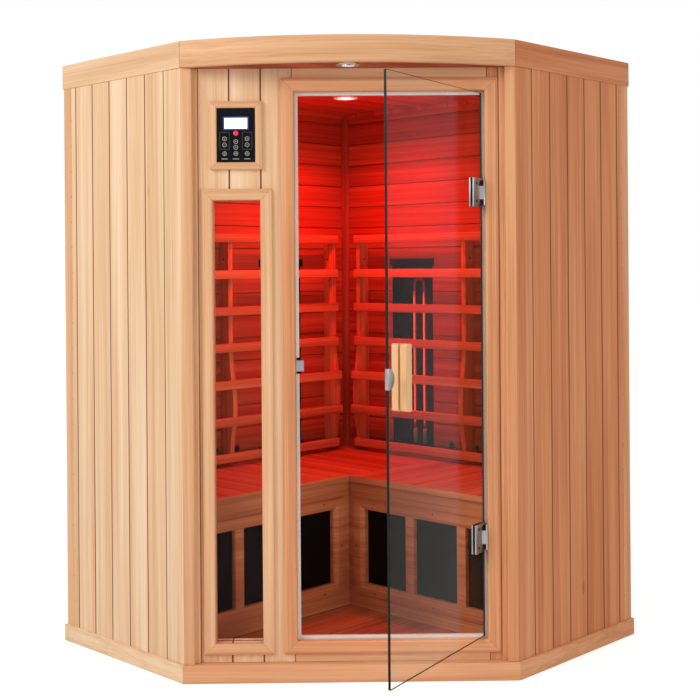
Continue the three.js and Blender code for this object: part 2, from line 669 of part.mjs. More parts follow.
// Door seal in the reveal and the magnetic catch that interrupts it
function makeDoorway() {
  const sealFront = DOOR_PLANE + SEAL_SETBACK;
  const catchFront = DOOR_PLANE + DOOR_GLASS_THICKNESS / 2 + FIT + STRIKE_THICKNESS + CATCH_GAP;
  const seal = mitredFrame(DOOR_LEFT, DOOR_RIGHT, DOOR_BOTTOM, DOOR_TOP, sealFront + SEAL_DEPTH, [
    [-SEAL_WIDTH, 0], [-SEAL_WIDTH, SEAL_DEPTH], [-FIT, SEAL_DEPTH], [-FIT, 0],
  ]);
  const plateHalf = CATCH_PLATE_HEIGHT / 2;
  const room = box(
    DOOR_LEFT - SEAL_WIDTH, DOOR_LEFT + 2 * SEAL_WIDTH, sealFront - SEAL_DEPTH, sealFront + 2 * SEAL_DEPTH,
    DOOR_MIDDLE - plateHalf - FIT, DOOR_MIDDLE + plateHalf + FIT,
  );
  add(cabin, 'door_seal', cut(seal, room), sealGrey);

  const plate = box(
    DOOR_LEFT + FIT, DOOR_LEFT + FIT + CATCH_PLATE_THICKNESS, catchFront, catchFront + CATCH_PLATE_DEPTH,
    DOOR_MIDDLE - plateHalf, DOOR_MIDDLE + plateHalf,
  );
  const block = box(
    DOOR_LEFT + FIT, DOOR_LEFT + CATCH_BLOCK_REACH, catchFront, catchFront + CATCH_BLOCK_DEPTH,
    DOOR_MIDDLE - CATCH_BLOCK_HEIGHT / 2, DOOR_MIDDLE + CATCH_BLOCK_HEIGHT / 2,
  );
  add(cabin, 'door_catch', joined(plate, block), satinSteel);
}

// Glass door about its pivot line: it closes along -X and swings out towards -Y
function makeDoor() {
  const freeEdge = DOOR_LEFT + DOOR_GLASS_GAP - (DOOR_RIGHT - PIVOT_INSET);
  const hingeEdge = PIVOT_INSET - DOOR_GLASS_GAP;
  const half = DOOR_GLASS_THICKNESS / 2;
  const face = half + FIT;
  const hinges = { lower: DOOR_BOTTOM + HINGE_INSET, upper: DOOR_TOP - HINGE_INSET };
  const blockSwing = HINGE_BLOCK_HALF * ROOT2 + HINGE_SWING_CLEARANCE;
  const blockHalf = HINGE_BLOCK_HEIGHT / 2;
  const knuckle = blockHalf + HINGE_SWING_CLEARANCE;
  const knuckleEnd = HINGE_HEIGHT / 2 - HINGE_PLATE_THICKNESS;
  const bore = (HINGE_PIN_RADIUS + HINGE_PIN_CLEARANCE) / Math.cos(Math.PI / ROUND_SEGMENTS);

  const pane = box(
    freeEdge, hingeEdge, -half, half, DOOR_BOTTOM + DOOR_GLASS_GAP, DOOR_TOP - DOOR_GLASS_GAP,
  );
  const notches = Object.values(hinges).map((z) => box(
    -blockSwing - FIT, 2 * PIVOT_INSET, -2 * half, 2 * half, z - knuckleEnd - FIT, z + knuckleEnd + FIT,
  ));
  add(door, 'door_glass', cut(pane, ...notches), clearGlass);

  for (const [place, z] of Object.entries(hinges)) {
    const notch = box(
      -blockSwing, 2 * PIVOT_INSET, -2 * PIVOT_INSET, 2 * PIVOT_INSET, z - knuckle, z + knuckle,
    );
    const plate = (y0, y1) => box(-HINGE_REACH, HINGE_TAIL, y0, y1, z - HINGE_HEIGHT / 2, z + HINGE_HEIGHT / 2);
    const barrel = box(-blockSwing, HINGE_TAIL, -face - FIT, half, z - knuckleEnd, z + knuckleEnd);
    const pinRoom = rod(bore, z - HINGE_HEIGHT, z + HINGE_HEIGHT);
    const outer = cut(joined(plate(-face - HINGE_PLATE_THICKNESS, -face), barrel), notch, pinRoom);
    add(door, `${place}_hinge_clamp_outer`, outer, satinSteel);
    add(door, `${place}_hinge_clamp_inner`, cut(plate(face, face + HINGE_PLATE_THICKNESS), notch), satinSteel);

    const pivot = [DOOR_RIGHT - PIVOT_INSET, DOOR_PLANE, 0];
    const pin = rod(HINGE_PIN_RADIUS, z - knuckleEnd + FIT, z + knuckleEnd - FIT);
    add(cabin, `${place}_hinge_pin`, pin.translate(...pivot), satinSteel);
    const wallPlate = box(
      PIVOT_INSET - FIT - HINGE_WALL_PLATE, PIVOT_INSET - FIT, -HINGE_BLOCK_HALF, HINGE_BLOCK_HALF,
      z - knuckleEnd, z + knuckleEnd,
    );
    const block = box(
      -HINGE_BLOCK_HALF, PIVOT_INSET - FIT - HINGE_WALL_PLATE / 2, -HINGE_BLOCK_HALF, HINGE_BLOCK_HALF,
      z - blockHalf, z + blockHalf,
    );
    add(cabin, `${place}_hinge_bracket`, cut(joined(wallPlate, block), pinRoom).translate(...pivot), satinSteel);
  }

  const grip = handleBar();
  const handleX = freeEdge + HANDLE_EDGE_DISTANCE;
  add(door, 'door_handle_inner', grip.clone().translate(handleX, face, DOOR_MIDDLE), handleWood);
  add(door, 'door_handle_outer', grip.rotateZ(Math.PI).translate(handleX, -face, DOOR_MIDDLE), handleWood);

  const clip = face + STRIKE_THICKNESS;
  const disc = new THREE.Shape();
  disc.moveTo(-FIT - STRIKE_THICKNESS, -STRIKE_RADIUS);
  disc.lineTo(0, -STRIKE_RADIUS);
  disc.absarc(0, 0, STRIKE_RADIUS, -Math.PI / 2, Math.PI / 2, false);
  disc.lineTo(-FIT - STRIKE_THICKNESS, STRIKE_RADIUS);
  const slot = box(-FIT, 2 * STRIKE_RADIUS, -face, face, -2 * STRIKE_RADIUS, 2 * STRIKE_RADIUS);
  const strike = cut(elevation(disc, -clip, clip), slot);
  add(door, 'door_strike', strike.translate(freeEdge, 0, DOOR_MIDDLE), satinSteel);
}

// One wooden grip standing on the glass at y = 0, hollowed along both sides and rounded at its ends
function handleBar() {
  const half = HANDLE_WIDTH / 2;
  const waist = half - HANDLE_GRIP_DEPTH;
  const section = new THREE.Shape();
  section.moveTo(-half, 0);
  section.lineTo(half, 0);
  section.bezierCurveTo(waist, HANDLE_DEPTH * 0.25, waist, HANDLE_DEPTH * 0.5, half, HANDLE_DEPTH * 0.75);
  section.bezierCurveTo(half, HANDLE_DEPTH, half * 0.6, HANDLE_DEPTH, 0, HANDLE_DEPTH);
  section.bezierCurveTo(-half * 0.6, HANDLE_DEPTH, -half, HANDLE_DEPTH, -half, HANDLE_DEPTH * 0.75);
  section.bezierCurveTo(-waist, HANDLE_DEPTH * 0.5, -waist, HANDLE_DEPTH * 0.25, -half, 0);
  const bar = new THREE.ExtrudeGeometry(section, {
    depth: HANDLE_HEIGHT, bevelEnabled: false, curveSegments: PROFILE_STEPS / 2,
  }).translate(0, 0, -HANDLE_HEIGHT / 2);

  const tall = HANDLE_HEIGHT / 2;
  const r = HANDLE_END_RADIUS;
  const outline = new THREE.Shape();
  outline.moveTo(r - half, -tall);
  outline.absarc(half - r, r - tall, r, -Math.PI / 2, 0, false);
  outline.absarc(half - r, tall - r, r, 0, Math.PI / 2, false);
  outline.absarc(r - half, tall - r, r, Math.PI / 2, Math.PI, false);
  outline.absarc(r - half, r - tall, r, Math.PI, Math.PI * 1.5, false);
  return common(bar, elevation(outline, -HANDLE_DEPTH, 2 * HANDLE_DEPTH));
}

// Control panel: wooden surround, housing sunk in the wall, faceplate with a display and sprung keys
function controlBox(width, height, y0, y1) {
  return box(
    WINDOW_CENTRE - width / 2, WINDOW_CENTRE + width / 2, y0, y1,
    CONTROL_CENTRE - height / 2, CONTROL_CENTRE + height / 2,
  );
}

function makeControl() {
  const left = WINDOW_CENTRE - FACEPLATE_WIDTH / 2 - FIT;
  const right = WINDOW_CENTRE + FACEPLATE_WIDTH / 2 + FIT;
  const bottom = CONTROL_CENTRE - FACEPLATE_HEIGHT / 2 - FIT;
  const top = CONTROL_CENTRE + FACEPLATE_HEIGHT / 2 + FIT;
  const sideWidth = (CONTROL_WIDTH - FACEPLATE_WIDTH) / 2 - FIT;
  const surround = mitredFrame(left, right, bottom, top, FRONT_FACE, mouldingSection(sideWidth, CONTROL_PROUD));
  add(cabin, 'control_surround', surround, paleWood);

  const shell = controlBox(HOUSING_WIDTH, HOUSING_HEIGHT, PLATE_BACK, HOUSING_BACK);
  const hollow = controlBox(
    HOUSING_WIDTH - 2 * HOUSING_WALL, HOUSING_HEIGHT - 2 * HOUSING_WALL,
    PLATE_BACK - HOUSING_DEPTH, HOUSING_BACK - HOUSING_WALL,
  );
  add(cabin, 'control_housing', cut(shell, hollow), blackPlastic);

  const displayZ = CONTROL_CENTRE + DISPLAY_RISE;
  const windowHalf = DISPLAY_WIDTH / 2;
  const displayHole = box(
    WINDOW_CENTRE - windowHalf, WINDOW_CENTRE + windowHalf, PLATE_FRONT - HOUSING_DEPTH, HOUSING_BACK,
    displayZ - DISPLAY_HEIGHT / 2, displayZ + DISPLAY_HEIGHT / 2,
  );
  const places = keyPlaces();
  const keyHoles = places.map(([x, z]) => rod(KEY_RADIUS + KEY_GAP, -HOUSING_DEPTH, HOUSING_DEPTH)
    .rotateX(Math.PI / 2).translate(x, PLATE_BACK, z));
  const plate = controlBox(FACEPLATE_WIDTH, FACEPLATE_HEIGHT, PLATE_FRONT, PLATE_BACK);
  add(cabin, 'control_faceplate', cut(plate, displayHole, ...keyHoles), blackPlastic);
  add(cabin, 'control_display', box(
    WINDOW_CENTRE - windowHalf + FIT, WINDOW_CENTRE + windowHalf - FIT,
    PLATE_FRONT + FIT, PLATE_FRONT + FIT + DISPLAY_THICKNESS,
    displayZ - DISPLAY_HEIGHT / 2 + FIT, displayZ + DISPLAY_HEIGHT / 2 - FIT,
  ), displayGlass);

  const lip = KEY_RADIUS + KEY_LIP;
  const rise = KEY_LIP_THICKNESS + FIT + FACEPLATE_THICKNESS + KEY_PROUD;
  places.forEach(([x, z], i) => {
    const key = turned([
      [0, 0], [lip, 0], [lip, KEY_LIP_THICKNESS], [KEY_RADIUS, KEY_LIP_THICKNESS], [KEY_RADIUS, rise - KEY_PROUD / 2],
      [KEY_RADIUS - KEY_PROUD / 2, rise], [0, rise - KEY_DISH],
    ], ROUND_SEGMENTS);
    const back = PLATE_BACK + FIT + KEY_LIP_THICKNESS;
    add(cabin, `control_key_${i + 1}`, key.rotateX(Math.PI / 2).translate(x, back, z), keyGrey);
  });
}

// Key centres, read left to right and top to bottom in each column
function keyPlaces() {
  const columns = [
    [-KEY_COLUMN_SPACING, KEY_OUTER_ROWS], [0, KEY_MIDDLE_ROWS], [KEY_COLUMN_SPACING, KEY_OUTER_ROWS],
  ];
  return columns.flatMap(([across, rows]) => [...rows, KEY_LOW_ROW]
    .map((up) => [WINDOW_CENTRE + across, CONTROL_CENTRE + up]));
}

// Bench along both back walls. The left seat takes in the rear corner and the right one butts against it.
function makeBench() {
  const seat = (start) => {
    const strip = prism([
      [start, FIT], [2 * ROOM_SIDE, FIT], [2 * ROOM_SIDE, SEAT_DEPTH], [start, SEAT_DEPTH],
    ], SEAT_UNDERSIDE, SEAT);
    const joints = steps(start + BOARD_PITCH, BOARD_PITCH, ROOM_SIDE)
      .map((at) => levelCutter(0, SEAT_DEPTH - NOSING_DEPTH, SEAT, 1).rotateZ(Math.PI / 2).translate(at, 0, 0));
    return cut(common(strip, prism(WING_ROOM, 0, HEIGHT)), ...joints);
  };
  add(leftWing, 'left_bench_top', seat(FIT), benchWood);
  add(rightWing, 'right_bench_top', mirrored(seat(SEAT_DEPTH + FIT)), benchWood);

  const front = SEAT_DEPTH - SKIRT_SETBACK;
  const back = front - SKIRT_THICKNESS;
  const end = Math.min(ROOM_SIDE, ROOM_DIAGONAL - front - PANE_FRAME_PROUD) - FIT;
  const frameStart = front + PANE_CORNER_MARGIN;
  const frameEnd = end - PANE_END_MARGIN;
  const bars = (PANE_COUNT - 1) * PANE_MULLION;
  const paneWidth = (frameEnd - frameStart - 2 * PANE_STILE - bars) / PANE_COUNT;
  const paneBottom = FLOOR + PANE_BOTTOM;
  const paneTop = SEAT_UNDERSIDE - PANE_TOP_DROP;
  const paneStart = frameStart + PANE_STILE;
  const paneEnd = frameEnd - PANE_STILE;
  const panes = [];
  for (let i = 0; i < PANE_COUNT; i += 1) {
    const x = paneStart + i * (paneWidth + PANE_MULLION);
    panes.push(box(x, x + paneWidth, 0, SEAT_DEPTH, paneBottom, paneTop));
  }
  // The frame round the panes stands proud, with inner edges that slope back to the skirt and its mullions
  const face = front + PANE_FRAME_PROUD;
  const splay = common(
    prism([
      [paneStart, front], [paneEnd, front], [paneEnd + PANE_SPLAY, face], [paneStart - PANE_SPLAY, face],
    ], paneBottom - PANE_SPLAY, paneTop + PANE_SPLAY),
    drawn([
      [front, paneBottom], [face, paneBottom - PANE_SPLAY], [face, paneTop + PANE_SPLAY], [front, paneTop],
    ], paneStart - PANE_SPLAY, paneEnd + PANE_SPLAY),
  );
  const guard = cut(
    box(frameStart, frameEnd, back, face, paneBottom - PANE_RAIL, paneTop + PANE_RAIL), splay,
  );
  const skirt = (start) => cut(joined(box(start, end, back, front, FLOOR, SEAT_UNDERSIDE), guard), ...panes);
  add(leftWing, 'left_bench_skirt', skirt(back), benchWood);
  add(rightWing, 'right_bench_skirt', mirrored(skirt(front + FIT)), benchWood);

  const lap = PANE_RAIL / 2;
  const heater = box(
    paneStart - lap, paneEnd + lap, back - FIT - BENCH_HEATER_THICKNESS, back - FIT, paneBottom - lap, paneTop + lap,
  );
  addWingPair('bench_heater', heater, blackHeater);
}

// Backrests: shaped uprights on the wall carrying level slats, with a lumbar swell
function makeBackrests() {
  const swell = (height) => {
    const away = Math.min(1, Math.abs(height - LUMBAR_CENTRE) / LUMBAR_REACH);
    return (LUMBAR_SWELL * (1 + Math.cos(Math.PI * away))) / 2;
  };
  const bottom = SLAT_SEAT_GAP;
  const top = bottom + (SLAT_COUNT - 1) * SLAT_PITCH + SLAT_HEIGHT;
  const edge = [];
  for (let i = 0; i <= PROFILE_STEPS; i += 1) {
    const height = bottom + ((top - bottom) * i) / PROFILE_STEPS;
    edge.push([SUPPORT_DEPTH + swell(height), SEAT + height]);
  }
  const section = [[FIT, SEAT + top], [FIT, SEAT + bottom], ...edge];
  const end = ROOM_SIDE - BACKREST_END_GAP;
  const run = end - BACKREST_START - SUPPORT_WIDTH;
  const pieces = [];
  for (let i = 0; i < SUPPORT_COUNT; i += 1) {
    const x = BACKREST_START + (run * i) / (SUPPORT_COUNT - 1);
    pieces.push(drawn(section, x, x + SUPPORT_WIDTH));
  }
  for (let i = 0; i < SLAT_COUNT; i += 1) {
    const low = bottom + i * SLAT_PITCH;
    const back = SUPPORT_DEPTH + swell(low + SLAT_HEIGHT / 2) - SUPPORT_HOUSING;
    pieces.push(box(BACKREST_START, end, back, back + SLAT_THICKNESS, SEAT + low, SEAT + low + SLAT_HEIGHT));
  }
  addWingPair('backrest', joined(...pieces), benchWood);
}

// Wall heaters: a ribbed sheet trough let into the back wall between two end caps, and a twin tube
function makeWallHeaters() {
  const left = HEATER_CENTRE - HEATER_WIDTH / 2 + FIT;
  const right = HEATER_CENTRE + HEATER_WIDTH / 2 - FIT;
  const floor = FIT - HEATER_DEPTH;
  const bottom = HEATER_BOTTOM + FIT;
  const top = HEATER_TOP - FIT;
  const splay = HEATER_CAP_OVERHANG;
  const ribStart = left + splay + HEATER_SHEET;
  const ribPitch = (right - left - 2 * (splay + HEATER_SHEET)) / HEATER_RIB_COUNT;
  const ribs = [];
  for (let i = HEATER_RIB_COUNT; i > 0; i -= 1) {
    ribs.push([ribStart + i * ribPitch, floor + HEATER_SHEET]);
    ribs.push([ribStart + (i - 0.5) * ribPitch, floor + HEATER_SHEET + HEATER_RIB_RISE]);
  }
  const trough = prism([
    [left, 0], [left + splay, floor], [right - splay, floor], [right, 0], [right - HEATER_SHEET, 0],
    ...ribs, [ribStart, floor + HEATER_SHEET], [left + HEATER_SHEET, 0],
  ], bottom, top);
  const cap = (z0, z1) => [
    box(left, right, floor, HEATER_CAP_PROUD, z0, z1),
    box(left - HEATER_CAP_OVERHANG, right + HEATER_CAP_OVERHANG, FIT, HEATER_CAP_PROUD, z0, z1),
  ];
  const housing = joined(
    trough, ...cap(bottom, bottom + HEATER_CAP_HEIGHT), ...cap(top - HEATER_CAP_HEIGHT, top),
  );
  addWingPair('heater_housing', housing, blackSheet);

  const near = HEATER_CENTRE + TUBE_OFFSET - TUBE_SPACING / 2;
  const far = near + TUBE_SPACING;
  const depth = -HEATER_DEPTH / 2;
  const foot = bottom + HEATER_CAP_HEIGHT + FIT;
  const bend = top - HEATER_CAP_HEIGHT - TUBE_TOP_GAP - TUBE_SPACING / 2;
  const loop = [[near, foot, -1, 0]];
  for (let i = 0; i <= TUBE_STEPS; i += 1) {
    const angle = Math.PI * (1 - i / TUBE_STEPS);
    const [across, up] = [Math.cos(angle), Math.sin(angle)];
    loop.push([(near + far + TUBE_SPACING * across) / 2, bend + (TUBE_SPACING * up) / 2, across, up]);
  }
  loop.push([far, foot, 1, 0]);
  const tube = sweptTube(loop, depth, TUBE_RADIUS);
  addWingPair('heater_tube', tube, redQuartz);
}

makeBase();
makeWalls();
makeFront();
makeRoof();
makeLamp('soffit_light', SOFFIT_LAMP_RADIUS, SOFFIT_LAMP_Y, SOFFIT, frostedLens);
makeLamp('ceiling_light', CEILING_LAMP_RADIUS, CEILING_LAMP_Y, CEILING, lampLens);
makeDoorway();
makeDoor();
makeControl();
makeBench();
makeBackrests();
makeWallHeaters();

export default cabin;
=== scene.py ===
import math

import bmesh
import bpy
from mathutils import Matrix, Vector


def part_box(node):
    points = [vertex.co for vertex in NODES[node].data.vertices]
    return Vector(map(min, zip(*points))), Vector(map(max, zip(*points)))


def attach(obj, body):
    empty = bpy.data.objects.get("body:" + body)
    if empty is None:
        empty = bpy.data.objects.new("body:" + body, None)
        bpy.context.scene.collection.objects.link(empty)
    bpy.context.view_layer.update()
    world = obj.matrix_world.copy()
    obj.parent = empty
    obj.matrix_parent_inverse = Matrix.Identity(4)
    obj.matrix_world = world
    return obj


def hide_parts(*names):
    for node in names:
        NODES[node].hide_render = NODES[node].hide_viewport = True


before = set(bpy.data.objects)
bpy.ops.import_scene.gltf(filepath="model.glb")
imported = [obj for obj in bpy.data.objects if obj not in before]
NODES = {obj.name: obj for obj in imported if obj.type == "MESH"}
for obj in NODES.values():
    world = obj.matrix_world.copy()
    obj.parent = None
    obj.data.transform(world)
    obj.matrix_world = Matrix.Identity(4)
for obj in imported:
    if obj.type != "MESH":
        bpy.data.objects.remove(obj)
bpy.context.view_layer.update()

# Frame facts in metres, as in the part's source
HALF_ROOM, HALF_PLAN = 0.62, 0.665
REAR_CORNER = HALF_ROOM * math.sqrt(2)
SEAT = 0.508
HALF_ROOT = math.sqrt(0.5)
FRONT_FACE = -0.4152876
DOOR_PIVOT = Vector((0.3885, -0.4202876, 0.0))
DOOR_TURN = math.radians(57)
BODY = "cabin"
SIDES = ("left", "right")
HINGES = ("upper", "lower")
BOARD_JOINT_X = -0.3545
RAIL_START_X, RAIL_END_X = -0.1685, 0.4145
PLINTH_CORNER_X, PLINTH_LEFT_RUN = -0.5, -0.9

# Cosine above which a face counts as looking in a direction
STEEP = 0.5


# Shader building

def srgb(r, g, b):
    def channel(v):
        v /= 255
        return v / 12.92 if v <= 0.04045 else ((v + 0.055) / 1.055) ** 2.4
    return (channel(r), channel(g), channel(b), 1.0)


def shaded(colour, amount):
    return tuple(c * amount for c in colour[:3]) + (1.0,)


class Nodes:
    """Short ways to fill a node tree."""

    def __init__(self, tree):
        self.tree = tree
        tree.nodes.clear()

    def node(self, kind, **settings):
        made = self.tree.nodes.new("ShaderNode" + kind)
        for key, value in settings.items():
            setattr(made, key, value)
        return made

    def link(self, source, target):
        self.tree.links.new(source, target)

    def feed(self, target, value):
        if isinstance(value, bpy.types.NodeSocket):
            self.link(value, target)
        else:
            target.default_value = value

    def math(self, operation, a, b=0.0, c=0.0, clamp=False):
        made = self.node("Math", operation=operation, use_clamp=clamp)
        for socket, value in zip(made.inputs, (a, b, c)):
            self.feed(socket, value)
        return made.outputs[0]

    def away(self, value, middle):
        """Distance of a value from a middle."""
        return self.math("ABSOLUTE", self.math("SUBTRACT", value, middle))

    def vector(self, operation, a, b):
        made = self.node("VectorMath", operation=operation)
        self.feed(made.inputs[0], a)
        self.feed(made.inputs[1], b)
        return made.outputs["Value" if operation == "DOT_PRODUCT" else "Vector"]

    def place(self):
        return self.node("TexCoord").outputs["Object"]

    def normal(self):
        return self.node("NewGeometry").outputs["True Normal"]

    def split(self, vector):
        made = self.node("SeparateXYZ")
        self.link(vector, made.inputs[0])
        return made.outputs

    def join(self, x, y, z):
        made = self.node("CombineXYZ")
        for socket, value in zip(made.inputs, (x, y, z)):
            self.feed(socket, value)
        return made.outputs[0]

    def noise(self, vector, scale, detail=4.0, rough=0.55):
        made = self.node("TexNoise")
        self.link(vector, made.inputs["Vector"])
        made.inputs["Scale"].default_value = scale
        made.inputs["Detail"].default_value = detail
        made.inputs["Roughness"].default_value = rough
        return made.outputs[0]

    def ramp(self, factor, *stops):
        made = self.node("ValToRGB")
        elements = made.color_ramp.elements
        while len(elements) < len(stops):
            elements.new(0.5)
        for element, (at, colour) in zip(elements, stops):
            element.position = at
            element.color = colour
        self.link(factor, made.inputs[0])
        return made.outputs[0]

    def shades(self, factor, dark, light):
        """Two tones of one colour, spread over a noise."""
        return self.ramp(factor, (0.3, dark), (0.7, light))

    def mix(self, factor, a, b):
        made = self.node("Mix", data_type="RGBA")
        self.feed(made.inputs[0], factor)
        self.feed(made.inputs[6], a)
        self.feed(made.inputs[7], b)
        return made.outputs[2]

    def seen(self):
        """One for rays that show the backdrop itself, nothing for rays that gather its light."""
        path = self.node("LightPath").outputs
        direct = self.math("ADD", path["Is Camera Ray"], path["Is Glossy Ray"])
        return self.math("ADD", direct, path["Is Transmission Ray"], clamp=True)


class Shader(Nodes):
    """A material with one principled surface."""

    def __init__(self, name):
        self.material = bpy.data.materials.new(name)
        self.material.use_nodes = True
        super().__init__(self.material.node_tree)
        self.output = self.node("OutputMaterial")
        self.surface = self.node("BsdfPrincipled")
        self.link(self.surface.outputs[0], self.output.inputs["Surface"])

    def bump(self, height, strength, distance):
        made = self.node("Bump")
        made.inputs["Strength"].default_value = strength
        made.inputs["Distance"].default_value = distance
        self.link(height, made.inputs["Height"])
        self.link(made.outputs[0], self.surface.inputs["Normal"])

    def set(self, **values):
        for key, value in values.items():
            self.feed(self.surface.inputs[key.replace("_", " ")], value)
        return self.material


# Wood: dark, middle and light tone of each palette. The palettes are tones of one wood, made paler or
# darker per side and red inside, to paint the light and shade each part gets.
# Painted light: pale tones for the left side and front, where the key light falls
PALE_LIT = [srgb(213, 167, 126), srgb(230, 193, 155), srgb(241, 213, 182)]
DEEPER_TONES = [srgb(196, 130, 87), srgb(219, 156, 112), srgb(233, 181, 140)]
MIXED = [srgb(202, 148, 106), srgb(222, 172, 130), srgb(236, 196, 158)]
# Painted shade: redder, darker tones for the shaded right side
SHADED_RUSSET = [srgb(188, 113, 71), srgb(212, 140, 94), srgb(227, 166, 121)]
# Painted red light and shade: inside walls, roof underside and floor in red tones with little green and
# blue
RED_LIGHT_AND_SHADE = [srgb(138, 56, 33), srgb(170, 76, 47), srgb(194, 103, 68)]
FLOOR_RED_LIGHT = [srgb(140, 70, 40), srgb(174, 98, 60), srgb(198, 126, 84)]
# Painted light: lighter red tones for benches, skirts and backrests, where white light from the doorway
# reaches them
WHITE_LIT_INNER = [srgb(160, 88, 54), srgb(192, 116, 74), srgb(214, 144, 100)]
UMBER = [srgb(124, 60, 36), srgb(154, 84, 52), srgb(178, 110, 72)]
HONEY = [srgb(212, 152, 105), srgb(232, 179, 130), srgb(244, 204, 160)]
JOINT_SHADE = srgb(124, 68, 36)
KNOT_BROWN = srgb(128, 72, 40)

# Boards and the dark lines between them, in metres
BOARD, INNER_BOARD, INNER_BOARD_START = 0.094, 0.083, 0.054
HALF_BOARD, SIDE_JOINT = BOARD / 2, 0.0278
LEFT_SEAT_JOINT, RIGHT_SEAT_JOINT = 0.6197, 0.1197
JOINT_CORE, JOINT_FADE, LAP_LINE, MITRE_LINE = 0.0016, 0.0034, 0.0016, 0.0007
JOINT_DARKNESS, LAP_DARKNESS, MITRE_DARKNESS = 0.9, 0.75, 0.55

# Grain: noise scales along and across it, and how much each adds to tone and height
BROAD_GRAIN, STREAK_GRAIN, FINE_GRAIN = (0.55, 16, 16), (1.1, 75, 75), (2.4, 270, 270)
BROAD_TONE, STREAK_TONE, FINE_TONE, BASE_TONE, BOARD_TONE = 0.85, 0.75, 0.52, -0.3, 0.16
STREAK_HEIGHT, FINE_HEIGHT = 0.45, 0.55
DARK_STOP, MIDDLE_STOP, LIGHT_STOP = 0.22, 0.5, 0.8
BOARD_JUMP_ALONG, BOARD_JUMP_ACROSS = 9.0, 3.0
KNOT_SPREAD, KNOT_FALL, KNOT_CORE, KNOT_DARKNESS = (1.3, 4.4, 4.4), -40.0, 1.6, 0.75
SQUEEZE = 0.15
WOOD_ROUGH, FRAME_ROUGH, ROUGH_SPREAD, WOOD_SPECULAR = 0.5, 0.46, 0.16, 0.25
GRAIN_BUMP, GRAIN_DEPTH = 0.16, 0.0005

# Where the faces of the roof and walls change from outside to inside wood
ROOF_MIDDLE_Y, ROOF_LOOKS_DOWN, ROOF_LOOKS_IN, WALL_LOOKS_OUT = 0.15, -0.3, -0.05, -0.1


def turned_place(s, degrees):
    """Object coordinates with X along a level direction."""
    made = s.node("Mapping", vector_type="TEXTURE")
    made.inputs["Rotation"].default_value = (0, 0, math.radians(degrees))
    s.link(s.place(), made.inputs["Vector"])
    return made.outputs[0]


def count_boards(s, across, offset, pitch=BOARD):
    return s.math("DIVIDE", s.math("SUBTRACT", across, offset), pitch)


def joint_mask(s, board, pitch):
    """One in the joint between two boards, falling to nothing on their faces."""
    away = s.math("MULTIPLY", s.math("PINGPONG", board, 0.5), pitch)
    fall = 1 / (JOINT_FADE - JOINT_CORE)
    return s.math("MULTIPLY_ADD", away, -fall, JOINT_FADE * fall, clamp=True)


def wood_look(s, place, palette, board=None, pitch=BOARD):
    """Colour and height of straight-grained softwood with X along the grain, in metres."""
    if board is not None:
        toss = s.node("TexWhiteNoise", noise_dimensions="1D")
        s.link(s.math("FLOOR", board), toss.inputs["W"])
        shift = toss.outputs["Value"]
        along = s.math("MULTIPLY", shift, BOARD_JUMP_ALONG)
        across = s.math("MULTIPLY", shift, BOARD_JUMP_ACROSS)
        place = s.vector("ADD", place, s.join(along, 0.0, across))
    broad = s.noise(s.vector("MULTIPLY", place, BROAD_GRAIN), 1.0, 2.0)
    streak = s.noise(s.vector("MULTIPLY", place, STREAK_GRAIN), 1.0, 3.0, 0.7)
    fine = s.noise(s.vector("MULTIPLY", place, FINE_GRAIN), 1.0, 3.0, 0.6)
    grain = s.math("MULTIPLY_ADD", streak, STREAK_HEIGHT, s.math("MULTIPLY", fine, FINE_HEIGHT))
    tone = s.math("MULTIPLY_ADD", streak, STREAK_TONE, BASE_TONE)
    tone = s.math("MULTIPLY_ADD", broad, BROAD_TONE, tone)
    tone = s.math("MULTIPLY_ADD", s.math("SUBTRACT", fine, 0.5), FINE_TONE, tone)
    if board is not None:
        tone = s.math("MULTIPLY_ADD", s.math("SUBTRACT", shift, 0.5), BOARD_TONE, tone)
    colour = s.ramp(tone, *zip((DARK_STOP, MIDDLE_STOP, LIGHT_STOP), palette))
    knots = s.node("TexVoronoi", feature="F1")
    s.link(s.vector("MULTIPLY", place, KNOT_SPREAD), knots.inputs["Vector"])
    knots.inputs["Scale"].default_value = 1.0
    spot = s.math("MULTIPLY_ADD", knots.outputs["Distance"], KNOT_FALL, KNOT_CORE, clamp=True)
    colour = s.mix(s.math("MULTIPLY", spot, KNOT_DARKNESS), colour, KNOT_BROWN)
    if board is not None:
        mask = joint_mask(s, board, pitch)
        colour = s.mix(s.math("MULTIPLY", mask, JOINT_DARKNESS), colour, JOINT_SHADE)
        grain = s.math("MULTIPLY_ADD", mask, s.math("SUBTRACT", 0.5, grain), grain)
    return colour, grain


def wood_finish(s, colour, grain, rough=WOOD_ROUGH):
    s.set(Base_Color=colour, Roughness=s.math("MULTIPLY_ADD", grain, ROUGH_SPREAD, rough))
    s.surface.inputs["Specular IOR Level"].default_value = WOOD_SPECULAR
    s.bump(grain, GRAIN_BUMP, GRAIN_DEPTH)
    return s.material


def either_wood(s, choice, first, second, rough=WOOD_ROUGH):
    """One wood look where the choice is 1 and another where it is 0."""
    colour = s.mix(choice, second[0], first[0])
    rest = s.math("MULTIPLY", s.math("SUBTRACT", 1.0, choice), second[1])
    return wood_finish(s, colour, s.math("MULTIPLY_ADD", choice, first[1], rest), rough)


def upright_wood(name, palette):
    s = Shader(name)
    x, y, z = s.split(s.place())
    return wood_finish(s, *wood_look(s, s.join(z, x, y), palette))


def post_wood(name, front_palette, side_palette):
    """A corner post: its front in the tones of the front frames and its side in the tones of the side
    boards, so each face carries the painted light or shade of its side.
    """
    s = Shader(name)
    x, y, z = s.split(s.place())
    upright = s.join(z, x, y)
    sideways = s.math("ABSOLUTE", s.split(s.normal())[0])
    side = wood_look(s, upright, side_palette)
    front = wood_look(s, upright, front_palette)
    return either_wood(s, s.math("GREATER_THAN", sideways, STEEP), side, front)


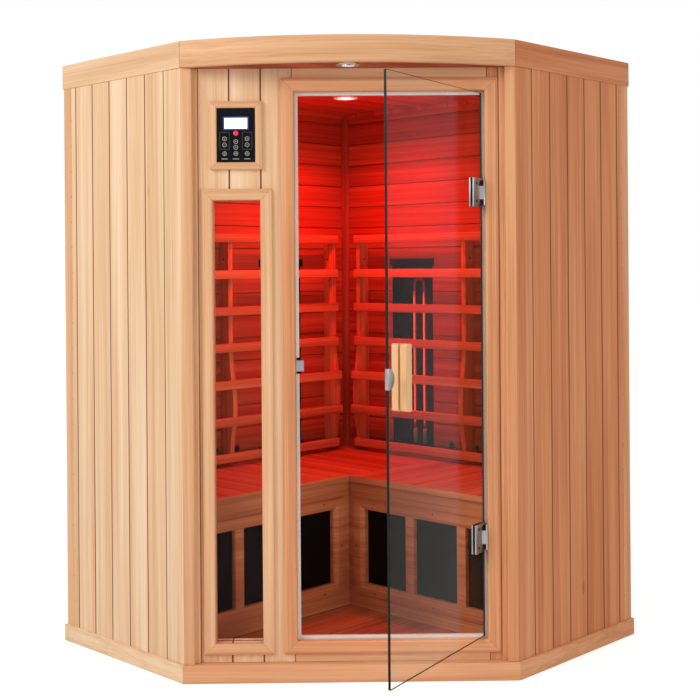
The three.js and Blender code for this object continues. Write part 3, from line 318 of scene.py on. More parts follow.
def plinth_wood(name):
    """The plinth: pale tones along the left side, painted light, and deeper tones along the rest."""
    s = Shader(name)
    x, y, z = s.split(s.place())
    left = wood_look(s, s.join(y, z, s.math("MULTIPLY", x, SQUEEZE)), PALE_LIT)
    rest = wood_look(s, s.join(x, z, s.math("MULTIPLY", y, SQUEEZE)), DEEPER_TONES)
    before_back = s.math("LESS_THAN", s.math("ADD", x, y), PLINTH_LEFT_RUN)
    on_left = s.math("MULTIPLY", s.math("LESS_THAN", x, PLINTH_CORNER_X), before_back)
    return either_wood(s, on_left, left, rest)


def level_wood(name, palette, degrees, offset=None):
    """Level grain along a direction, with board joints across it where an offset is given."""
    s = Shader(name)
    place = turned_place(s, degrees)
    along, across, up = s.split(place)
    if offset is not None:
        return wood_finish(s, *wood_look(s, place, palette, count_boards(s, across, offset)))
    flat = s.join(along, up, s.math("MULTIPLY", across, SQUEEZE))
    return wood_finish(s, *wood_look(s, flat, palette))


def seat_wood(name, degrees, offset):
    """A bench top: boards with joints on top, and a nosing along the front edge."""
    s = Shader(name)
    place = turned_place(s, degrees)
    along, across, up = s.split(place)
    boards = wood_look(s, place, WHITE_LIT_INNER, count_boards(s, across, offset))
    nosing = wood_look(s, s.join(across, up, along), WHITE_LIT_INNER)
    level = s.split(s.normal())[2]
    return either_wood(s, s.math("GREATER_THAN", level, STEEP), boards, nosing)


def roof_wood(name, degrees, offset):
    """The roof: boards in red tones under it, painted red light and shade, and in the outer tones on top.
    """
    s = Shader(name)
    place = turned_place(s, degrees)
    boards = count_boards(s, s.split(place)[1], offset)
    under = wood_look(s, place, RED_LIGHT_AND_SHADE, boards)
    over = wood_look(s, place, DEEPER_TONES, boards)
    normal = s.normal()
    from_middle = s.vector("SUBTRACT", s.place(), (0, ROOF_MIDDLE_Y, 0))
    outward = s.vector("DOT_PRODUCT", normal, s.vector("MULTIPLY", from_middle, (1, 1, 0)))
    looks_down = s.math("LESS_THAN", s.split(normal)[2], ROOF_LOOKS_DOWN)
    looks_in = s.math("LESS_THAN", outward, ROOF_LOOKS_IN)
    return either_wood(s, s.math("MAXIMUM", looks_down, looks_in), under, over)


def wall_wood(name, palette, degrees, outer_offset):
    """A wall panel: upright boards outside, level boards inside in red tones, painted red light and
    shade. X runs along the wall.
    """
    s = Shader(name)
    place = turned_place(s, degrees)
    along, across, up = s.split(place)
    outside = count_boards(s, along, outer_offset)
    outer = wood_look(s, s.join(up, along, across), palette, outside)
    inside = count_boards(s, up, INNER_BOARD_START, INNER_BOARD)
    inner = wood_look(s, place, RED_LIGHT_AND_SHADE, inside, INNER_BOARD)
    turn = math.radians(degrees)
    across_normal = s.vector("DOT_PRODUCT", s.normal(), (-math.sin(turn), math.cos(turn), 0))
    facing_out = s.math("MULTIPLY", across_normal, across)
    return either_wood(s, s.math("GREATER_THAN", facing_out, WALL_LOOKS_OUT), outer, inner)


def front_wood(name):
    """The front panel: upright boards beside the doorway, level rails over and under it."""
    s = Shader(name)
    x, y, z = s.split(s.place())
    boards = count_boards(s, x, BOARD_JOINT_X)
    upright, upright_grain = wood_look(s, s.join(z, x, y), PALE_LIT, boards)
    right = wood_look(s, s.join(z, x, y), DEEPER_TONES)[0]
    upright = s.mix(s.math("GREATER_THAN", x, RAIL_END_X), upright, right)
    rail, rail_grain = wood_look(s, s.join(x, z, y), MIXED)
    from_middle = s.away(x, (RAIL_START_X + RAIL_END_X) / 2)
    inside = s.math("SUBTRACT", (RAIL_END_X - RAIL_START_X) / 2, from_middle)
    lap = s.math("MULTIPLY", s.math("LESS_THAN", inside, LAP_LINE), LAP_DARKNESS)
    rail = s.mix(lap, rail, JOINT_SHADE)
    on_rail = s.math("GREATER_THAN", inside, 0.0)
    return either_wood(s, on_rail, (rail, rail_grain), (upright, upright_grain))


def frame_wood(name, node, width, palette):
    """A mitred frame in the front: upright grain in its stiles and level grain in its rails."""
    low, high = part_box(node)
    s = Shader(name)
    x, y, z = s.split(s.place())
    from_side = s.math("SUBTRACT", s.away(x, (low.x + high.x) / 2), (high.x - low.x) / 2 - width)
    from_end = s.math("SUBTRACT", s.away(z, (low.z + high.z) / 2), (high.z - low.z) / 2 - width)
    stile, stile_grain = wood_look(s, s.join(z, x, y), palette)
    rail, rail_grain = wood_look(s, s.join(x, z, y), palette)
    mitre = s.away(from_side, from_end)
    line = s.math("MULTIPLY", s.math("LESS_THAN", mitre, MITRE_LINE), MITRE_DARKNESS)
    stile = s.mix(line, stile, JOINT_SHADE)
    rail = s.mix(line, rail, JOINT_SHADE)
    on_stile = s.math("GREATER_THAN", from_side, from_end)
    return either_wood(s, on_stile, (stile, stile_grain), (rail, rail_grain), FRAME_ROUGH)


# Other finishes
SPECK_SPREAD, SPECK_DEPTH = 0.2, 0.0002
BRUSH_LINES, BRUSH_SHADE, BRUSH_SPREAD = (20, 20, 2200), 0.8, 0.16
BRUSH_BUMP, BRUSH_DEPTH = 0.06, 0.0001
GLASS_IOR, GLASS_SMEAR, GLASS_CLOUD, GLASS_LIGHTER = 1.1, 6.0, 0.01, 1.02
GLOW_ROUGH = 0.3


def speckled(name, dark, light, rough, scale, bump=0.15, specular=0.5):
    s = Shader(name)
    speck = s.noise(s.place(), scale, 3.0)
    s.set(Base_Color=s.shades(speck, dark, light),
          Roughness=s.math("MULTIPLY_ADD", speck, SPECK_SPREAD, rough - SPECK_SPREAD / 2))
    s.surface.inputs["Specular IOR Level"].default_value = specular
    s.bump(speck, bump, SPECK_DEPTH)
    return s.material


def brushed(name, colour, rough):
    """Satin metal with fine brush lines across Z."""
    s = Shader(name)
    lines = s.noise(s.vector("MULTIPLY", s.place(), BRUSH_LINES), 1.0, 3.0)
    s.set(Base_Color=s.shades(lines, shaded(colour, BRUSH_SHADE), colour), Metallic=1.0,
          Roughness=s.math("MULTIPLY_ADD", lines, BRUSH_SPREAD, rough - BRUSH_SPREAD / 2))
    s.bump(lines, BRUSH_BUMP, BRUSH_DEPTH)
    return s.material


def glass(name, tint):
    """Clear glass that lets lamp light through, with faint smears in its roughness."""
    s = Shader(name)
    smear = s.noise(s.place(), GLASS_SMEAR, 3.0)
    lighter = tuple(min(1.0, c * GLASS_LIGHTER) for c in tint[:3]) + (1.0,)
    s.set(Base_Color=s.shades(smear, tint, lighter),
          Roughness=s.math("MULTIPLY", smear, GLASS_CLOUD))
    s.surface.inputs["Transmission Weight"].default_value = 1.0
    s.surface.inputs["IOR"].default_value = GLASS_IOR
    clear = s.node("BsdfTransparent")
    clear.inputs[0].default_value = tint
    path = s.node("LightPath")
    either = s.node("MixShader")
    s.link(path.outputs["Is Shadow Ray"], either.inputs[0])
    s.link(s.surface.outputs[0], either.inputs[1])
    s.link(clear.outputs[0], either.inputs[2])
    s.link(either.outputs[0], s.output.inputs["Surface"])
    return s.material


def glowing(name, colour, light, strength, scale=40.0, low=0.75):
    """A lit surface. Low is how dark its darker ripples are."""
    s = Shader(name)
    ripple = s.noise(s.place(), scale, 2.0)
    s.set(Base_Color=s.shades(ripple, shaded(colour, low), colour), Roughness=GLOW_ROUGH)
    glow = s.shades(ripple, shaded(light, low), light)
    s.link(glow, s.surface.inputs["Emission Color"])
    s.surface.inputs["Emission Strength"].default_value = strength
    return s.material


# Metals: colour and roughness
STEEL = brushed("satin_steel", srgb(158, 159, 162), 0.3)
CHROME = brushed("polished_chrome", srgb(222, 222, 226), 0.14)
DARK_STEEL = brushed("dark_steel", srgb(70, 68, 66), 0.4)

# Plastics, prints and sheet: dark and light tone, roughness, speck scale, bump and specular
SEAL = speckled("seal_vinyl", srgb(206, 202, 199), srgb(226, 222, 219), 0.5, 300)
PANEL_BLACK = speckled("panel_black", srgb(8, 9, 12), srgb(15, 17, 20), 0.34, 500, 0.08, 0.08)
KEY_BLACK = speckled("key_black", srgb(12, 13, 16), srgb(22, 24, 28), 0.42, 600, 0.1, 0.12)
MARK = speckled("print_grey", srgb(178, 178, 176), srgb(206, 206, 202), 0.6, 800, 0.05)
RULE = speckled("print_dim", srgb(72, 72, 72), srgb(92, 92, 90), 0.6, 800, 0.05)
RUBBER = speckled("grommet_black", srgb(18, 15, 14), srgb(34, 28, 26), 0.6, 500)
CARBON = speckled("heater_carbon", srgb(6, 4, 4), srgb(14, 10, 9), 0.5, 260, 0.3, 0.12)
SHEET = speckled("heater_sheet", srgb(8, 7, 7), srgb(18, 15, 14), 0.42, 120, 0.15, 0.25)
FROST = speckled("frosted_lens", srgb(150, 146, 140), srgb(190, 186, 178), 0.35, 400)
CERAMIC = speckled("ceramic_end", srgb(150, 132, 118), srgb(178, 160, 144), 0.6, 300)
GLASS_EDGE = speckled("glass_edge", srgb(12, 26, 23), srgb(24, 46, 40), 0.3, 200, 0.05, 0.1)
GLASS = glass("door_glass", (0.93, 0.965, 0.95, 1.0))

# Lit surfaces: colour, light, strength, ripple scale and darker ripples
LAMP_RED = glowing("lamp_lens", srgb(255, 240, 230), (1.0, 0.72, 0.62, 1.0), 6.0)
# Painted light: the bezel is no lamp, its red glow stands for the lamp's light on it
LAMP_RIM_PAINTED_GLOW = glowing("lamp_rim_painted_glow", srgb(240, 225, 220), (1.0, 0.36, 0.30, 1.0), 0.4)
SCREEN = glowing("display_screen", srgb(235, 240, 255), (0.92, 0.96, 1.0, 1.0), 1.15, 30, 0.97)
# Painted light: a blue glow on the faceplate round the display, standing for the display's light on it
SCREEN_PAINTED_GLOW = glowing("display_painted_glow", srgb(12, 26, 90), (0.02, 0.06, 0.40, 1.0), 0.6, 60, 0.7)
INDICATOR = glowing("indicator_red", srgb(170, 14, 18), (1.0, 0.015, 0.03, 1.0), 1.0, 200, 0.8)

# Timber: wood tones, paler or darker per side for painted light and shade, direction of the grain in
# degrees and first board joint
LEFT_POST_WOOD = post_wood("left_post_wood", MIXED, PALE_LIT)
RIGHT_POST_WOOD = post_wood("right_post_wood", DEEPER_TONES, SHADED_RUSSET)
HANDLE_WOOD = upright_wood("handle_wood", HONEY)
FRONT_FASCIA_WOOD = level_wood("front_fascia_wood", MIXED, 0)
LEFT_FASCIA_WOOD = level_wood("left_fascia_wood", PALE_LIT, -45)
RIGHT_FASCIA_WOOD = level_wood("right_fascia_wood", SHADED_RUSSET, 45)
PLINTH_WOOD = plinth_wood("plinth_wood")
ROOF_WOOD = roof_wood("roof_wood", 45, HALF_BOARD - HALF_ROOM)
FLOOR_WOOD = level_wood("floor_wood", FLOOR_RED_LIGHT, 45, HALF_BOARD - HALF_PLAN)
LEFT_SEAT_WOOD = seat_wood("left_seat_wood", -45, LEFT_SEAT_JOINT)
RIGHT_SEAT_WOOD = seat_wood("right_seat_wood", 45, RIGHT_SEAT_JOINT)
LEFT_RAIL_WOOD = level_wood("left_rail_wood", WHITE_LIT_INNER, 45)
RIGHT_RAIL_WOOD = level_wood("right_rail_wood", WHITE_LIT_INNER, -45)
TRIM_WOOD = upright_wood("trim_wood", WHITE_LIT_INNER)
CORNER_WOOD = upright_wood("corner_wood", UMBER)


# Piece building
MERGE_DISTANCE, FLAT_ANGLE = 1e-5, math.radians(0.3)
TINY = 1e-9
SCREW_SIDES = 16
# Share of the radius, and height in metres
SCREW_PROFILE = ((0, 0.0004), (0.25, 0.0002), (0.5, 0.0009), (0.92, 0.0008), (1, 0.0002),
                 (1, -0.0006), (0, -0.0006))


def new_piece(name, bm, material, body=BODY, replaces=(), smooth=True):
    mesh = bpy.data.meshes.new(name)
    bm.to_mesh(mesh)
    bm.free()
    for polygon in mesh.polygons:
        polygon.use_smooth = smooth
    made = bpy.data.objects.new(name, mesh)
    bpy.context.scene.collection.objects.link(made)
    mesh.materials.append(material)
    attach(made, body)
    if replaces:
        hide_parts(*replaces)
    return made


def harden(piece, width, segments, angle):
    """Rounds a piece's edges and keeps its flat faces flat."""
    bevel = piece.modifiers.new("edges", "BEVEL")
    bevel.width = width
    bevel.segments = segments
    bevel.limit_method = "ANGLE"
    bevel.angle_limit = math.radians(angle)
    bevel.harden_normals = True


def harden_smooth(piece):
    """Smooth shading that keeps flat faces flat."""
    made = piece.modifiers.new("normals", "WEIGHTED_NORMAL")
    made.keep_sharp = True
    made.weight = 80


def clean_copy(node):
    bm = bmesh.new()
    bm.from_mesh(NODES[node].data)
    bmesh.ops.remove_doubles(bm, verts=bm.verts, dist=MERGE_DISTANCE)
    bmesh.ops.dissolve_limit(bm, angle_limit=FLAT_ANGLE, verts=bm.verts, edges=bm.edges)
    return bm


def refined(node, material, width, body=BODY, segments=2, angle=32):
    """The CAD solid with its edges rounded over."""
    piece = new_piece(node + "_piece", clean_copy(node), material, body, (node,))
    harden(piece, width, segments, angle)


def rimmed_glass(node, body):
    """A pane with clear faces and a dark green rim, as thick glass looks edge on."""
    bm = clean_copy(node)
    largest = max(bm.faces, key=lambda face: face.calc_area())
    across = largest.normal.copy()
    for face in bm.faces:
        face.material_index = 0 if abs(face.normal.dot(across)) > STEEP else 1
    pane = new_piece(node + "_piece", bm, GLASS, body, (node,), False)
    pane.data.materials.append(GLASS_EDGE)


def dress(node, material):
    data = NODES[node].data
    data.materials.clear()
    data.materials.append(material)


def round_edges(bm, edges, offset, segments):
    bmesh.ops.bevel(bm, geom=list(edges), offset=offset, segments=segments, profile=0.5,
                    affect="EDGES")


def add_box(bm, low, high, round_over=0.0):
    low, high = Vector(low), Vector(high)
    made = bmesh.ops.create_cube(bm, size=1.0)
    middle = (low + high) / 2
    for vert in made["verts"]:
        vert.co = Vector(c * s for c, s in zip(vert.co, high - low)) + middle
    if round_over:
        edges = {edge for vert in made["verts"] for edge in vert.link_edges}
        round_edges(bm, edges, round_over, 3)


def add_lathe(bm, profile, matrix, steps):
    """A turned form about its own Z from a closed or axis-to-axis profile of (radius, height)."""
    rings = []
    for radius, height in profile:
        if radius < TINY:
            rings.append([bm.verts.new(matrix @ Vector((0, 0, height)))])
            continue
        ring = []
        for i in range(steps):
            angle = 2 * math.pi * i / steps
            point = Vector((radius * math.cos(angle), radius * math.sin(angle), height))
            ring.append(bm.verts.new(matrix @ point))
        rings.append(ring)
    for a, b in zip(rings, rings[1:]):
        for i in range(steps):
            j = (i + 1) % steps
            if len(a) == 1:
                bm.faces.new((a[0], b[j], b[i]))
            elif len(b) == 1:
                bm.faces.new((a[i], a[j], b[0]))
            else:
                bm.faces.new((a[i], a[j], b[j], b[i]))


def finish_normals(bm):
    bmesh.ops.recalc_face_normals(bm, faces=bm.faces)
    return bm


def facing(direction, at):
    """A frame whose Z looks along a level direction."""
    z = Vector(direction).normalized()
    x = Vector((0, 0, 1)).cross(z).normalized()
    y = z.cross(x)
    turn = Matrix((x, y, z)).transposed().to_4x4()
    return Matrix.Translation(Vector(at)) @ turn


def wing(side):
    """From wing coordinates, along the back wall, into the room and up, to the cabin's frame."""
    sign = -1 if side == "left" else 1
    along = Vector((sign * HALF_ROOT, -HALF_ROOT, 0))
    into = Vector((-sign * HALF_ROOT, -HALF_ROOT, 0))
    turn = Matrix((along, into, Vector((0, 0, 1)))).transposed().to_4x4()
    return Matrix.Translation((0, REAR_CORNER, 0)) @ turn


def wing_direction(side, along, into):
    return (wing(side).to_3x3() @ Vector((along, into, 0))).normalized()


def add_screw(bm, direction, at, radius):
    """A countersunk cross-head screw sitting in a surface."""
    profile = [(radius * share, height) for share, height in SCREW_PROFILE]
    add_lathe(bm, profile, facing(direction, at), SCREW_SIDES)


# Walls, roof and floor keep their solids
dress("left_side_panel", wall_wood("left_side_wood", PALE_LIT, -45, SIDE_JOINT - HALF_ROOM))
dress("right_side_panel", wall_wood("right_side_wood", SHADED_RUSSET, 45, HALF_ROOM - SIDE_JOINT))
dress("left_back_panel", wall_wood("left_back_wood", MIXED, 45, HALF_ROOM - HALF_BOARD))
dress("right_back_panel", wall_wood("right_back_wood", DEEPER_TONES, -45, HALF_BOARD - HALF_ROOM))
dress("front_panel", front_wood("front_wood"))
dress("roof_panel", ROOF_WOOD)
dress("floor_deck", FLOOR_WOOD)
dress("left_bench_heater", CARBON)
dress("right_bench_heater", CARBON)
dress("control_housing", PANEL_BLACK)
for hinge in HINGES:
    dress(hinge + "_hinge_pin", STEEL)

# Widths of the mitred frames, in metres
DOOR_FRAME_WOOD = frame_wood("door_frame_wood", "door_frame", 0.04, DEEPER_TONES)
WINDOW_FRAME_WOOD = frame_wood("window_frame_wood", "window_frame", 0.034, MIXED)
CONTROL_FRAME_WOOD = frame_wood("control_frame_wood", "control_surround", 0.0217, MIXED)

# Timber and sheet with eased edges: finish and radius of the edges in metres
refined("left_front_post", LEFT_POST_WOOD, 0.002)
refined("right_front_post", RIGHT_POST_WOOD, 0.002)
refined("front_fascia", FRONT_FASCIA_WOOD, 0.0025)
refined("left_fascia", LEFT_FASCIA_WOOD, 0.0025)
refined("right_fascia", RIGHT_FASCIA_WOOD, 0.0025)
refined("base_plinth", PLINTH_WOOD, 0.003)
refined("door_frame", DOOR_FRAME_WOOD, 0.0015, angle=20)
refined("window_frame", WINDOW_FRAME_WOOD, 0.0015, angle=20)
refined("control_surround", CONTROL_FRAME_WOOD, 0.0015, angle=20)
refined("rear_corner_trim", CORNER_WOOD, 0.001)
refined("left_bench_top", LEFT_SEAT_WOOD, 0.002)
refined("right_bench_top", RIGHT_SEAT_WOOD, 0.002)
refined("left_bench_skirt", LEFT_RAIL_WOOD, 0.0015)
refined("right_bench_skirt", RIGHT_RAIL_WOOD, 0.0015)
refined("left_heater_housing", SHEET, 0.0006)
refined("right_heater_housing", SHEET, 0.0006)

# Door and window
rimmed_glass("door_glass", "door")
rimmed_glass("window_glass", BODY)
refined("door_handle_outer", HANDLE_WOOD, 0.004, "door", 4, 40)
refined("door_handle_inner", HANDLE_WOOD, 0.004, "door", 4, 40)
refined("door_strike", STEEL, 0.0004, "door")
refined("door_catch", STEEL, 0.0008)
refined("door_seal", SEAL, 0.0006)
for hinge in HINGES:
    refined(hinge + "_hinge_clamp_outer", STEEL, 0.0008, "door")
    refined(hinge + "_hinge_clamp_inner", STEEL, 0.0008, "door")
    refined(hinge + "_hinge_bracket", STEEL, 0.0008)

# Lamps
refined("soffit_light_bezel", CHROME, 0.0008)
refined("ceiling_light_bezel", LAMP_RIM_PAINTED_GLOW, 0.0008)
dress("soffit_light_lens", FROST)
dress("ceiling_light_lens", LAMP_RED)

# Backrests
SLAT_COUNT, SLAT_PITCH, SLAT_HEIGHT, SLAT_THICKNESS, SLAT_EDGE = 7, 0.1325, 0.032, 0.018, 0.004
SLAT_LOW, BACKREST_START, BACKREST_END = 0.016, 0.107, 1.187
SUPPORT_BACK, SUPPORT_DEPTH, SUPPORT_WIDTH, SUPPORT_HOUSING = 0.0003, 0.05, 0.02, 0.001
SUPPORT_COUNT, SUPPORT_STEPS, SUPPORT_EDGE = 3, 32, 0.002
SUPPORT_SCREWS_UP, SUPPORT_SCREW_IN, SUPPORT_SCREW = (0.16, 0.42, 0.75), 0.024, 0.0036
LUMBAR_SWELL, LUMBAR_CENTRE, LUMBAR_REACH = 0.023, 0.217, 0.215


def swell(height):
    away = min(1.0, abs(height - LUMBAR_CENTRE) / LUMBAR_REACH)
    return LUMBAR_SWELL * (1 + math.cos(math.pi * away)) / 2


def add_support(bm, x):
    """A shaped upright, from the wall to the backs of the slats."""
    top = SLAT_LOW + (SLAT_COUNT - 1) * SLAT_PITCH + SLAT_HEIGHT
    section = [(SUPPORT_BACK, top), (SUPPORT_BACK, SLAT_LOW)]
    for i in range(SUPPORT_STEPS + 1):
        height = SLAT_LOW + (top - SLAT_LOW) * i / SUPPORT_STEPS
        section.append((SUPPORT_DEPTH + swell(height), height))
    near = [bm.verts.new((x, y, SEAT + z)) for y, z in section]
    far = [bm.verts.new((x + SUPPORT_WIDTH, y, SEAT + z)) for y, z in section]
    caps = [bm.faces.new(near), bm.faces.new(list(reversed(far)))]
    for i in range(len(section)):
        j = (i + 1) % len(section)
        bm.faces.new((near[j], near[i], far[i], far[j]))
    round_edges(bm, [edge for cap in caps for edge in cap.edges], SUPPORT_EDGE, 2)


def make_backrest(side, slat_wood):
    m = wing(side)
    bm = bmesh.new()
    screws = bmesh.new()
    run = BACKREST_END - BACKREST_START - SUPPORT_WIDTH
    starts = [BACKREST_START + run * i / (SUPPORT_COUNT - 1) for i in range(SUPPORT_COUNT)]
    for x in starts:
        add_support(bm, x)
    for face in bm.faces:
        face.material_index = 1
    for i in range(SLAT_COUNT):
        low = SLAT_LOW + i * SLAT_PITCH
        back = SUPPORT_DEPTH + swell(low + SLAT_HEIGHT / 2) - SUPPORT_HOUSING
        add_box(bm, (BACKREST_START, back, SEAT + low),
                (BACKREST_END, back + SLAT_THICKNESS, SEAT + low + SLAT_HEIGHT), SLAT_EDGE)
    for x in starts:
        for height in SUPPORT_SCREWS_UP:
            for face, way in ((x, -1), (x + SUPPORT_WIDTH, 1)):
                at = m @ Vector((face, SUPPORT_SCREW_IN, SEAT + height))
                add_screw(screws, wing_direction(side, way, 0), at, SUPPORT_SCREW)
    bm.transform(m)
    piece = new_piece(side + "_backrest_piece", finish_normals(bm), slat_wood, BODY,
                      (side + "_backrest",))
    piece.data.materials.append(TRIM_WOOD)
    harden_smooth(piece)
    new_piece(side + "_backrest_screws", finish_normals(screws), DARK_STEEL, BODY)


make_backrest("left", LEFT_RAIL_WOOD)
make_backrest("right", RIGHT_RAIL_WOOD)

# Wall heater tubes with ceramic ends, and cable grommets beside the heaters
TUBE_AT, TUBE_GAP, TUBE_FOOT, TUBE_BEND = 0.375, 0.048, 0.5516, 1.1567
TUBE_DEPTH, TUBE_RADIUS, TUBE_STEPS, TUBE_SIDES = -0.018, 0.005, 24, 16
TUBE_DARK, TUBE_LIGHT, TUBE_HAZE, TUBE_ROUGH = srgb(40, 6, 4), srgb(72, 10, 8), 60.0, 0.12
WIRE_LOW, WIRE_HIGH, WIRE_REACH, WIRE_BEAD = 0.62, 1.137, 0.0050, 0.009
WIRE_FADE, BEAD_SWING, BEAD_BASE = 25.0, 1.2, 0.4
WIRE_COLD, WIRE_HOT, WIRE_GLOW = (0.03, 0.0, 0.0, 1), (1.0, 0.05, 0.03, 1), 3.4
END_SINK, END_SIDES, GROMMET_UP, GROMMET_SIDES = 0.0003, 20, 0.560, 24
GROMMETS = {"left": (0.580, 0.677), "right": (0.548, 0.664)}
# Radius and height in metres
END_PROFILE = ((0.0052, 0.0), (0.0085, 0.0), (0.0085, 0.05), (0.0075, 0.056), (0.0052, 0.056),
               (0.0052, 0.0))
GROMMET_PROFILE = ((0, 0.0008), (0.006, 0.0008), (0.007, 0.0032), (0.0115, 0.003),
                   (0.0125, 0.0015), (0.0125, -0.0002), (0, -0.0002))


def glowing_tube(name, side):
    """Ruby quartz with a beaded wire glowing along the middle of each leg."""
    s = Shader(name)
    z = s.split(s.place())[2]
    from_corner = s.vector("SUBTRACT", s.place(), (0, REAR_CORNER, 0))
    along = s.vector("DOT_PRODUCT", from_corner, tuple(wing_direction(side, 1, 0)))
    from_wire = s.away(s.away(along, TUBE_AT), TUBE_GAP / 2)
    wire = s.math("MULTIPLY_ADD", from_wire, -1 / WIRE_REACH, 1.0, clamp=True)
    from_centre = s.away(z, (WIRE_LOW + WIRE_HIGH) / 2)
    reach = WIRE_FADE * (WIRE_HIGH - WIRE_LOW) / 2
    lit = s.math("MULTIPLY_ADD", from_centre, -WIRE_FADE, reach, clamp=True)
    wave = s.math("PINGPONG", z, WIRE_BEAD / 2)
    bead = s.math("MULTIPLY_ADD", wave, BEAD_SWING / WIRE_BEAD, BEAD_BASE)
    heat = s.math("MULTIPLY", s.math("MULTIPLY", wire, lit), bead)
    haze = s.noise(s.place(), TUBE_HAZE, 2.0)
    s.set(Base_Color=s.shades(haze, TUBE_DARK, TUBE_LIGHT), Roughness=TUBE_ROUGH)
    s.link(s.mix(heat, WIRE_COLD, WIRE_HOT), s.surface.inputs["Emission Color"])
    s.surface.inputs["Emission Strength"].default_value = WIRE_GLOW
    return s.material


def tube_mesh():
    """A hairpin tube, in wing coordinates."""
    bm = bmesh.new()
    path = [(-1, TUBE_FOOT, 0)]
    for i in range(TUBE_STEPS + 1):
        angle = math.pi * (1 - i / TUBE_STEPS)
        up = TUBE_BEND + TUBE_GAP / 2 * math.sin(angle)
        path.append((math.cos(angle), up, math.sin(angle)))
    path.append((1, TUBE_FOOT, 0))
    rings = []
    for across, up, rise in path:
        ring = []
        for i in range(TUBE_SIDES):
            angle = 2 * math.pi * i / TUBE_SIDES
            out = TUBE_RADIUS * math.cos(angle)
            x = TUBE_AT + TUBE_GAP / 2 * across + across * out
            y = TUBE_DEPTH + TUBE_RADIUS * math.sin(angle)
            ring.append(bm.verts.new((x, y, up + rise * out)))
        rings.append(ring)
    for a, b in zip(rings, rings[1:]):
        for i in range(TUBE_SIDES):
            j = (i + 1) % TUBE_SIDES
            bm.faces.new((a[i], a[j], b[j], b[i]))
    bm.faces.new(rings[0])
    bm.faces.new(rings[-1])
    return bm


def make_tube(side):
    m = wing(side)
    bm = tube_mesh()
    bm.transform(m)
    ruby = glowing_tube(side + "_tube_red", side)
    new_piece(side + "_heater_tube_piece", finish_normals(bm), ruby, BODY,
              (side + "_heater_tube",))
    ends = bmesh.new()
    for across in (-0.5, 0.5):
        at = m @ Vector((TUBE_AT + TUBE_GAP * across, TUBE_DEPTH, TUBE_FOOT - END_SINK))
        add_lathe(ends, END_PROFILE, Matrix.Translation(at), END_SIDES)
    new_piece(side + "_tube_ends", finish_normals(ends), CERAMIC, BODY)
    plugs = bmesh.new()
    for along in GROMMETS[side]:
        at = m @ Vector((along, END_SINK, GROMMET_UP))
        add_lathe(plugs, GROMMET_PROFILE, facing(wing_direction(side, 0, 1), at), GROMMET_SIDES)
    new_piece(side + "_grommets", finish_normals(plugs), RUBBER, BODY)


for side in SIDES:
    make_tube(side)

# Hinge and catch screws
DOOR_FRAME = Matrix.Translation(DOOR_PIVOT) @ Matrix.Rotation(DOOR_TURN, 4, "Z")
HINGE_HEIGHTS, HINGE_SCREWS_UP = (0.422, 1.447), (-0.027, 0.027)
CLAMP_SCREW_X, CLAMP_FACE, CLAMP_SCREW = -0.034, 0.0093, 0.005
BRACKET_FACE, BRACKET_SPREAD, BRACKET_SCREW = 0.0127, 1.15, 0.0042
CATCH_FACE, CATCH_IN, CATCH_UP, CATCH_SCREW = -0.1582, 0.012, 0.9345, 0.0026
CATCH_SCREWS_UP = (-0.0205, 0.0205)


def make_fasteners():
    door = bmesh.new()
    wall = bmesh.new()
    for z in HINGE_HEIGHTS:
        for dz in HINGE_SCREWS_UP:
            for way in (-1, 1):
                at = DOOR_FRAME @ Vector((CLAMP_SCREW_X, way * CLAMP_FACE, z + dz))
                add_screw(door, DOOR_FRAME.to_3x3() @ Vector((0, way, 0)), at, CLAMP_SCREW)
            at = Vector((DOOR_PIVOT.x + BRACKET_FACE, DOOR_PIVOT.y, z + dz * BRACKET_SPREAD))
            add_screw(wall, (-1, 0, 0), at, BRACKET_SCREW)
    new_piece("hinge_clamp_screws", finish_normals(door), DARK_STEEL, "door")
    for dz in CATCH_SCREWS_UP:
        at = (CATCH_FACE, FRONT_FACE + CATCH_IN, CATCH_UP + dz)
        add_screw(wall, (1, 0, 0), at, CATCH_SCREW)
    new_piece("wall_hinge_screws", finish_normals(wall), DARK_STEEL, BODY)


make_fasteners()

# Screws in the frames round the bench heaters
PANE_SCREW_FACE, PANE_SCREW = 0.4901, 0.003
RAIL_SCREWS_ALONG, RAIL_SCREWS_UP = (0.61, 0.868, 1.126), (0.115, 0.420)
STILE_SCREWS_ALONG, STILE_SCREW_UP = (0.525, 1.2107), 0.2675


def make_pane_screws(side):
    bm = bmesh.new()
    places = [(along, up) for along in RAIL_SCREWS_ALONG for up in RAIL_SCREWS_UP]
    places += [(along, STILE_SCREW_UP) for along in STILE_SCREWS_ALONG]
    for along, up in places:
        at = wing(side) @ Vector((along, PANE_SCREW_FACE, up))
        add_screw(bm, wing_direction(side, 0, 1), at, PANE_SCREW)
    new_piece(side + "_pane_screws", finish_normals(bm), DARK_STEEL, BODY)


for side in SIDES:
    make_pane_screws(side)

# Control panel
PLATE_Y = FRONT_FACE - 0.016
PANEL_X, PANEL_Z, COLUMN = -0.333, 1.622, 0.0335
PRINT, PRINT_SINK, RING_STEPS, SIGN_STEPS = 0.0002, 0.0001, 40, 24
KEY_EDGE, KEY_RING_OUTER, KEY_RING_INNER = 0.0004, 0.0064, 0.0053
KEY_RING_SINK, KEY_SIGN_SINK = 0.00012, 0.00025
RULE_LOW, RULE_HIGH, RULE_HALF, RULE_LINE = -0.0425, 0.009, 0.0145, 0.0008
BAR_LOW, BAR_HIGH, BAR_HALF = -0.0715, -0.0700, 0.009
